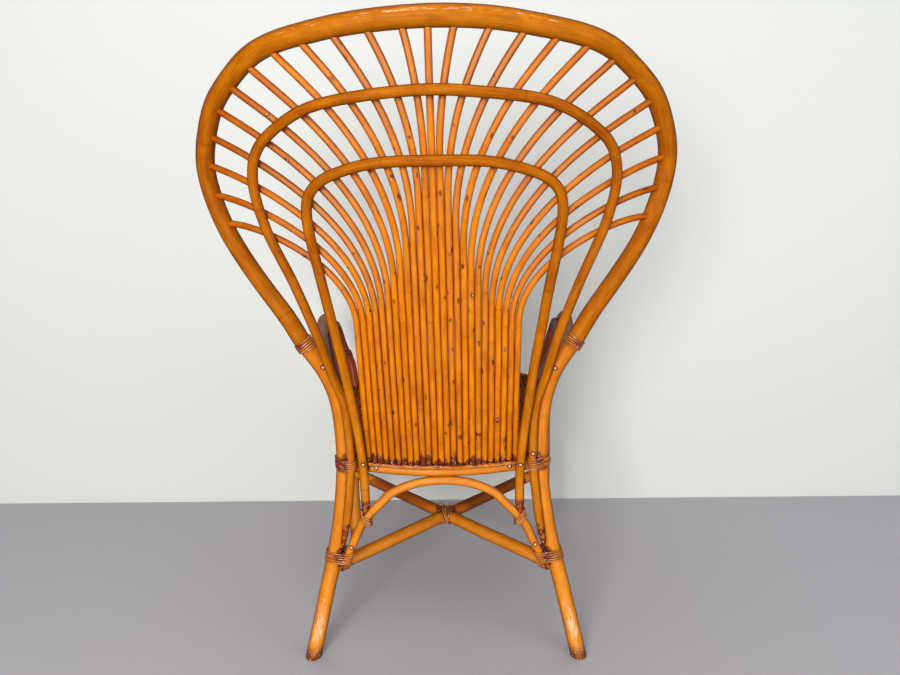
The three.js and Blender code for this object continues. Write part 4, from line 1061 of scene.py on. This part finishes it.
strand = {
    "radius": 0.0021, "pitch": 0.0048, "samples": 60, "sides": 12, "shape": (0.72, 1.04), "step": 0.0028,
    "clear": 0.0001, "knuckles": 9, "swell": 0, "waver": 0.00012, "tintSpread": 0.10, "spots": 5,
    "diveLength": 0.012, "diveDepth": 0.0022, "edgeStain": (0.26, 0.32), "ridgeWearAndHighlight": (0.33, 0.24),
    "edgeWave": 0.06, "steep": 0.95,
}
jointSpots = [((0.2640, 0.1905, 0.688), 0.016)]
lowerSpots = [((0.2130, 0.190, 0.236), 0.022)]
upright = (0, 0, 1)
bindings = {  # places on the left side; without an axis the strand winds round its first pole's own
    "joint": {
        "node": "lashing_hoop_joint_", "holds": ("whole",), "place": (0.257, 0.1736, 0.683), "turns": 4.5,
        "spots": {"left": jointSpots, "right": jointSpots},
    },
    "rail": {
        "node": "lashing_rail_", "holds": ("leg", "middle"), "place": (0.1975, 0.1605, 0.4365),
        "axis": upright, "turns": 4.4,
        "spots": {"left": [((0.202, 0.176, 0.438), 0.030), ((0.197, 0.180, 0.428), 0.022)],
                  "right": [((0.192, 0.184, 0.4440), 0.016)]},
    },
    "rearFoot": {
        "node": "lashing_rear_lower_", "holds": ("leg", "rearArch", "sideArch"),
        "place": (0.228, 0.174, 0.232), "axis": upright, "turns": 4.5,
        "spots": {"left": lowerSpots, "right": lowerSpots},
    },
    "bar": {
        "node": "lashing_stretcher_end_", "holds": ("stretcher",), "place": (0.213, 0.158, 0.2), "turns": 4.5
    },
    "scarf": {
        "node": "lashing_inner_hoop_", "holds": ("rearArch", "inner"), "place": (0.1545, 0.184, 0.318),
        "turns": 3.4,
    },
    "frontFoot": {
        "node": "lashing_front_lower_", "holds": ("front", "frontArch", "sideArch"),
        "place": (0.263, -0.2665, 0.232), "axis": upright, "turns": 3.4,
    },
    "arm": {
        "node": "lashing_arm_", "holds": ("front", "innerArm"), "place": (0.280, -0.281, 0.543),
        "axis": upright, "turns": 3.4, "finish": "arm",
    },
}
crossing = {
    "place": (0.0, -0.0322, 0.2), "axis": (0.93, 0.0, 0.36), "turns": 3.2, "secondTurns": 2.2, "lift": 0.0030
}
curl = {  # a loose end, on an ellipse that also rises
    **strand, "radius": 0.0015, "sides": 10, "shape": (1, 1), "flat": upright, "step": 0.0015,
    "stations": 60, "turn": (-0.5, 3.9), "center": (0.0150, -0.0400, 0.2150),
    "size": (0.0118, 0.0105, 0.0050),
}


def nearestStation(path, place):
    i = int(np.argmin(np.linalg.norm(path - np.asarray(place), axis=1)))
    i = min(max(i, 1), len(path) - 2)
    return path[i], unit(path[i + 1] - path[i - 1])


# The strand leans on the pole that reaches furthest in each direction d. A pole's section square
# to the lashing's axis is an ellipse, so it touches at c + (r^2 d + k (d.l) l) / sqrt(r^2 + k (d.l)^2),
# where l is the ellipse's long way and k = r^2 / cos^2 - r^2. It rises one pitch each turn.
def windingPath(held, place, axis, turns, lift):
    first = unit(np.cross((0, 0, 1), axis)) if abs(axis[2]) < strand["steep"] else np.array([1.0, 0, 0])
    first = unit(first - axis * first.dot(axis))
    second = np.cross(axis, first)
    angle = np.linspace(0, 2 * np.pi * turns, int(turns * strand["samples"]) + 1)
    direction = np.cos(angle)[:, None] * first + np.sin(angle)[:, None] * second
    height = (angle / (2 * np.pi) - turns / 2) * strand["pitch"]
    touches, reaches = [], []
    for path, radius in held:
        center, along = nearestStation(path, place)
        slant = along.dot(axis)
        center = center + along * ((place - center).dot(axis) / slant)
        longWay = along - axis * slant
        longWay = longWay / max(np.linalg.norm(longWay), 1e-9)
        extra = radius**2 / slant**2 - radius**2
        facing = direction @ longWay
        support = np.sqrt(radius**2 + extra * facing**2)
        centers = center + (height / slant)[:, None] * along
        touch = centers + (radius**2 * direction + extra * facing[:, None] * longWay) / support[:, None]
        touches.append(touch)
        reaches.append(np.einsum("ij,ij->i", touch, direction))
    leader = np.argmax(np.array(reaches), axis=0)
    touch = np.array(touches)[leader, np.arange(len(angle))]
    clear = strand["radius"] * strand["shape"][0] + strand["clear"] + lift
    return evenPath(touch + direction * clear, strand["step"])


# The edges of a strand are stained where two turns meet, and its ridge is paler: partly rubbed, partly a
# painted highlight.
def strandMarks(spots):
    def marksAt(rings, along):
        turn = np.linspace(0, 2 * np.pi, rings.shape[1], endpoint=False)[None, :]
        waves = 0.5 + 0.5 * slowWaves(along, strand["edgeWave"])[:, None]
        edges = np.abs(np.sin(turn)) ** 2 * (strand["edgeStain"][0] + strand["edgeStain"][1] * waves)
        ridge = np.clip(np.cos(turn), 0, 1) ** 4 * (strand["ridgeWearAndHighlight"][0] + strand["ridgeWearAndHighlight"][1] * waves)
        return np.clip(np.maximum(edges, spotStain(rings, spots)), 0, 1), ridge, 0
    return marksAt


def windStrand(name, held, place, axis, turns, replaced, lift=0.0, spots=(), finish="lashing"):
    path = windingPath(held, np.asarray(place, float), unit(np.asarray(axis, float)), turns, lift)
    along = runningLength(path)
    nearest = np.minimum(along, along[-1] - along)  # both ends dive under their neighbours
    dive = rise(nearest, strand["diveLength"], -strand["diveLength"]) ** 2 * strand["diveDepth"]
    path = path + unit(path.mean(0) - path) * dive[:, None]
    piece = pole(name, path, {**strand, "flat": axis}, strandMarks(spots))
    finishPiece(piece, "lashing", materials[finish], *replaced)


def makeLashings():
    for side, sign in (("left", 1), ("right", -1)):
        for name, made in bindings.items():
            held = [(sidePath(key, side), poles[key]["radius"]) for key in made["holds"]]
            place = np.array(made["place"]) * (sign, 1, 1)
            if "axis" in made:
                axis = made["axis"]
            else:
                place, axis = nearestStation(held[0][0], place)
            windStrand(name + "Binding_" + side, held, place, axis, made["turns"], [made["node"] + side],
                       spots=made.get("spots", {}).get(side, ()), finish=made.get("finish", "lashing"))
    bars = [(sidePath("stretcher", side), stretcher["radius"]) for side in ("left", "right")]
    place, axis = crossing["place"], np.array(crossing["axis"])
    windStrand("crossBinding_first", bars, place, axis, crossing["turns"], ["lashing_stretcher_cross"])
    windStrand("crossBinding_second", bars, place, axis * (1, 1, -1), crossing["secondTurns"], [],
               lift=crossing["lift"])
    # two loose ends curl over the crossing
    turn = np.linspace(*curl["turn"], curl["stations"])
    (x, y, z), (wide, deep, high) = curl["center"], curl["size"]
    arc = np.sin((turn - turn[0]) / (turn[-1] - turn[0]) * np.pi)
    for number, sign in ((1, 1), (2, -1)):
        line = np.stack([sign * (x - wide * np.cos(turn)), y - deep * np.sin(turn), z + high * arc], axis=1)
        piece = pole("crossCurl_%d" % number, evenPath(line, curl["step"]), curl, strandMarks(()))
        finishPiece(piece, "lashing", materials["lashing"])


makeLashings()
print("stage: joints are bound")

# Screws and nails, each in a small pool of stain

fastener = {
    "head": 0.0022, "pool": 0.0050, "dome": 0.0011, "slotWidth": 0.00042, "slotDepth": 0.0005,
    "slotReach": 0.66, "around": 40, "poolLevel": 0.0008, "poolRim": 0.0004,
    "sunk": ((-0.0012,), (-0.0010,)), "ragged": 0.10, "under": 0.5, "center": 0.02, "rim": 1.001,
    "poolRings": 5, "headRings": 12, "poolTurn": 90, "slotTurn": 50,
    "blots": (700, 700, 700), "stain": ((0.22, 0.02, 0.004, 1), (0.07, 0.004, 0.001, 1)),
    "metal": ((0.82, 0.66, 0.56, 1), (0.56, 0.40, 0.31, 1)), "roughness": 0.34, "shine": 0.25,
}
screwSpots = [  # pole, side, place on it as on the left side
    ("whole", 1, (0.2288, 0.1671, 0.6387)), ("whole", -1, (0.2249, 0.1662, 0.6310)),
    ("middle", -1, (0.1818, 0.1807, 0.4600)), ("inner", 1, (0.1574, 0.1832, 0.4429)),
    ("inner", -1, (0.1572, 0.1823, 0.4390)), ("rearArch", 1, (0.1876, 0.1872, 0.2580)),
    ("rearArch", -1, (0.1860, 0.1870, 0.2615)), ("rail", 1, (0.1313, 0.1636, 0.4198)),
    ("rail", -1, (0.1349, 0.1630, 0.4199)),
]
nail = {"spots": (0.137, 0.083, 0.012, -0.063, -0.118), "above": 0.0021, "bed": 0.004, "scale": 0.5}


def fastenerMaterial():
    material = bpy.data.materials.new("fastenerFinish")
    material.use_nodes = True
    n = Nodes(material.node_tree)
    marks, _ = n.colorMarks()
    blots = n.noise(n.add("TexCoord").outputs["Object"], fastener["blots"], 3)
    stain, metal = (n.mix(blots, *fastener[key]) for key in ("stain", "metal"))
    shader = material.node_tree.nodes["Principled BSDF"]
    n.give(shader.inputs["Base Color"], n.mix(marks[0], metal, stain))
    n.give(shader.inputs["Roughness"], fastener["roughness"])
    n.give(shader.inputs["Specular IOR Level"], fastener["shine"])
    return material


fastenerFinish = fastenerMaterial()


# A domed head h sqrt(1 - (r / R)^2) with a cross slot, in a thin pool that follows the pole.
def fastenerMesh(name, place, normal, along, radius, scale=1.0, slot=True):
    head, pool = fastener["head"] * scale, fastener["pool"] * scale
    onPool = np.linspace(pool, head, fastener["poolRings"])
    onHead = np.linspace(head, fastener["center"] * head, fastener["headRings"])
    reach = np.concatenate([[fastener["under"] * pool, pool], onPool, onHead])[:, None]
    angle = np.linspace(0, 2 * np.pi, fastener["around"], endpoint=False)[None, :]
    waves = np.sin(2 * angle + place[0] * fastener["poolTurn"])
    reach = reach * (1 + fastener["ragged"] * waves * (reach > head * fastener["rim"]))
    x, y = reach * np.cos(angle), reach * np.sin(angle)
    inside = np.clip(1 - (reach / head) ** 2, 0, 1)
    dome = np.where(reach <= head, fastener["dome"] * scale * np.sqrt(inside), 0)
    height = fastener["poolLevel"] + dome
    height[2] = fastener["poolRim"]
    if slot:
        turned = angle + place[2] * fastener["slotTurn"]
        u, v = np.abs(reach * np.cos(turned)), np.abs(reach * np.sin(turned))
        cross = (np.minimum(u, v) < fastener["slotWidth"]) & (reach < fastener["slotReach"] * head)
        height = height - cross * fastener["slotDepth"]
    height[:2] = fastener["sunk"]
    height = height - y**2 / (2 * radius)
    across = np.cross(along, normal)
    rings = place + x[..., None] * along + y[..., None] * across + height[..., None] * normal
    marks = np.zeros((*x.shape, 4))
    marks[..., 0] = reach > head * fastener["rim"]
    finishPiece(ringMesh(name, rings, np.stack([x, y, 0 * x], axis=-1), marks), "lashing", fastenerFinish)


def makeFasteners():
    for number, (key, sign, spot) in enumerate(screwSpots, 1):  # screws face the camera
        path, radius = sidePath(key, "left" if sign > 0 else "right"), poles[key]["radius"]
        middle, along = nearestStation(path, np.array(spot) * (sign, 1, 1))
        normal = np.array(view["place"]) - middle
        normal = unit(normal - along * normal.dot(along))
        fastenerMesh("screw_%d" % number, middle + normal * radius, normal, along, radius)
    back, up = np.array([0, 1.0, 0]), np.array([0, 0, 1.0])
    for number, x in enumerate(nail["spots"], 1):
        place = onTrim(x, trim["standOff"] + nail["above"])
        fastenerMesh("nail_%d" % number, place, back, up, nail["bed"], nail["scale"], slot=False)


makeFasteners()
print("stage: screws and nails are driven")

# The woven seat

seat = {
    "overhang": 0.006, "warpPitch": 0.0092, "weftPitch": 0.0062, "warpWidth": 0.0058, "weftWidth": 0.0061,
    "warpThick": 0.0014, "weftThick": 0.0025, "topShare": 0.8, "wave": 0.0011, "lift": 0.0038, "step": 0.0023,
    "rearEdge": 0.166, "legFront": 0.135, "betweenLegs": 0.175, "legClear": 0.002, "frontCorner": -0.235,
    "cornerClear": 0.007, "halfWidth": 0.245, "weftStart": 0.004, "warpStart": 0.003,
    "weftTint": 0.22, "warpTint": 0.2, "fewest": 8, "grainShift": 20,
}
wrap = {
    "reach": 0.205, "frontOf": -0.2, "step": 0.0009, "pitch": 0.0062, "rise": 0.0012, "radius": 0.0152,
    "sides": 40, "girth": 0.09, "seam": 0.25, "seamStain": 0.35, "tint": (0.05, 0.16), "power": 0.6,
    "chance": 12.9898,
}
plait = {
    "pitch": 0.034, "sideways": 0.0036, "up": 0.0014, "above": 0.0016, "rearEnd": 0.13, "step": 0.003,
    "radius": 0.0021, "sides": 8, "flat": (0, 0, 1), "knuckles": 9, "swell": 0, "waver": 0,
    "tintSpread": 0.15,
}


# Many ribbons side by side in one mesh: each has a flat four-cornered section.
def ribbonMesh(name, lines, across, width, thick, tints):
    half, low = width / 2, thick / 2
    local = np.array([[-half, -low], [half, -low], [half, low], [-half, low]])
    narrow = np.array([1, 1, seat["topShare"], seat["topShare"]])[None, :, None]
    verts, quads, grains, marks, offset = [], [], [], [], 0
    for line, tint in zip(lines, tints):
        up = unit(np.cross(np.broadcast_to(across, line.shape), np.gradient(line, axis=0)))
        up = up * np.sign(up[:, 2:3])
        section = local[None, :, :1] * narrow * across + local[None, :, 1:] * up[:, None]
        count = len(line)
        verts.append((line[:, None] + section).reshape(-1, 3))
        corner = offset + np.arange(count - 1)[:, None] * 4
        ring, after = corner + np.arange(4), corner + np.roll(np.arange(4), -1)
        quads.append(np.stack([ring, after, after + 4, ring + 4], axis=-1).reshape(-1, 4))
        quads.append(np.array([[3, 2, 1, 0], [0, 1, 2, 3]]) + offset + [[0], [(count - 1) * 4]])
        along = runningLength(line) + rng.uniform(0, seat["grainShift"])
        grains.append(np.hstack([np.tile(local, (count, 1)), np.repeat(along, 4)[:, None]]))
        marks.append(np.tile([0, 0, 0, tint], (count * 4, 1)))
        offset += count * 4
    corners = np.vstack(quads)
    sizes = np.full(len(corners), 4)
    return faceMesh(name, corners.ravel(), sizes, np.vstack(verts), np.vstack(grains), np.vstack(marks))


def seatOutline():  # the seat hoop's path, moved outwards by the overhang
    path = paths["seat"]
    outward = unit(np.cross(unit(np.gradient(path, axis=0)), (0, 0, 1.0)))
    outward = outward * np.sign((outward * (path - path.mean(0))).sum(1, keepdims=True))
    return path + outward * seat["overhang"]


def matLevelAt(y):
    return seatHeightAt(y) + seatHoop["radius"] + seat["lift"]


# The weft runs across and the warp from front to back; both wave as cos(pi place / pitch + pi
# row), in opposite phase, so each strand passes over one and under the next.
def makeMat():
    outline = seatOutline()
    left = outline[: len(outline) // 2 + 1]
    order = np.argsort(left[:, 1])
    rearEdge, frontEdge = seat["rearEdge"], left[:, 1].min()
    firstRow = frontEdge + seat["weftStart"]
    lines, tints = [], []
    for row, y in enumerate(np.arange(firstRow, rearEdge, seat["weftPitch"])):
        reach = float(np.interp(y, left[order, 1], left[order, 0]))
        if y > seat["legFront"]:
            reach = min(reach, chair["waistHalfSpan"] - rearFrame["radius"] - seat["legClear"])
        if y < seat["frontCorner"]:
            reach = min(reach, chair["cornerHalfWidth"] - seat["cornerClear"])
        x = np.arange(-reach, reach, seat["step"])
        wave = np.cos(np.pi * x / seat["warpPitch"] + np.pi * row) * seat["wave"]
        lines.append(np.stack([x, np.full_like(x, y), matLevelAt(y) + wave], axis=1))
        tints.append(rng.uniform(-seat["weftTint"], seat["weftTint"]))
    back = np.array([0.0, 1.0, 0.0])
    mat = ribbonMesh("seatWeft", lines, back, seat["weftWidth"], seat["weftThick"], tints)
    finishPiece(mat, "weave", materials["weaveAcross"], "seat_panel")
    lines, tints = [], []
    for x in np.arange(-seat["halfWidth"], seat["halfWidth"], seat["warpPitch"]):
        inside = left[np.abs(left[:, 0]) >= abs(x)]
        if len(inside) < 3:
            continue
        low = max(inside[:, 1].min(), frontEdge) if abs(x) > left[order, 0][0] else frontEdge
        high = rearEdge if abs(x) < seat["betweenLegs"] else min(inside[:, 1].max(), seat["legFront"])
        y = np.arange(low + seat["warpStart"], high, seat["step"])
        if len(y) < seat["fewest"]:
            continue
        column = round(x / seat["warpPitch"])
        wave = np.cos(np.pi * (y - firstRow) / seat["weftPitch"] + np.pi * column) * seat["wave"]
        lines.append(np.stack([np.full_like(y, x), y, matLevelAt(y) - wave], axis=1))
        tints.append(rng.uniform(-seat["warpTint"], seat["warpTint"]))
    aside = np.array([1.0, 0.0, 0.0])
    mat = ribbonMesh("seatWarp", lines, aside, seat["warpWidth"], seat["warpThick"], tints)
    finishPiece(mat, "weave", materials["weave"])


# Wound cane round the hoop's front: radius = R + h |sin(pi (s / pitch - turn))|^0.6, a helix of strips.
def makeWrap():
    path = paths["seat"]
    front = path[(path[:, 1] < wrap["frontOf"]) & (np.abs(path[:, 0]) < wrap["reach"])]
    front = evenPath(front, wrap["step"])
    _, side, top = directionsAlong(front, (0, 0, 1))
    angle = np.linspace(0, 2 * np.pi, wrap["sides"], endpoint=False)
    phase = runningLength(front)[:, None] / wrap["pitch"] - angle[None, :] / (2 * np.pi)
    strip = np.floor(phase)
    bulge = np.abs(np.sin(np.pi * phase))
    radius = wrap["radius"] + wrap["rise"] * bulge ** wrap["power"]
    rings = front[:, None] + radius[..., None] * (
        side[:, None] * np.cos(angle)[None, :, None] + top[:, None] * np.sin(angle)[None, :, None]
    )
    turn = angle[None, :] / (2 * np.pi) + strip
    grain = np.stack([(phase % 1) * wrap["pitch"], 0 * phase, turn * wrap["girth"]], axis=-1)
    marks = np.zeros((*phase.shape, 4))
    marks[..., 0] = wrap["seamStain"] * (bulge < wrap["seam"])
    mean, change = wrap["tint"]
    marks[..., 3] = mean + change * np.sin(strip * wrap["chance"])  # as if drawn by chance
    piece = ringMesh("frontWrap", rings, grain, marks)
    finishPiece(piece, "weave", materials["weaveAcross"], "seat_front_wrap")


# A three-strand plait along the mat's edge: sideways a sin(w s + p), up b sin(2 (w s + p)).
def makeBorder():
    outline = seatOutline()
    line = evenPath(outline[outline[:, 1] < plait["rearEnd"]], plait["step"])
    line[:, 2] = matLevelAt(line[:, 1]) + plait["above"]
    _, side, _ = directionsAlong(line, plait["flat"])
    for number in range(3):
        turn = 2 * np.pi * (runningLength(line) / plait["pitch"] + number / 3)
        path = line + side * (plait["sideways"] * np.sin(turn))[:, None]
        path[:, 2] += plait["up"] * np.sin(2 * turn)
        piece = pole("seatPlait_%d" % (number + 1), path, plait)
        finishPiece(piece, "weave", materials["weave"])


makeMat()
makeWrap()
makeBorder()
print("stage: seat is woven")
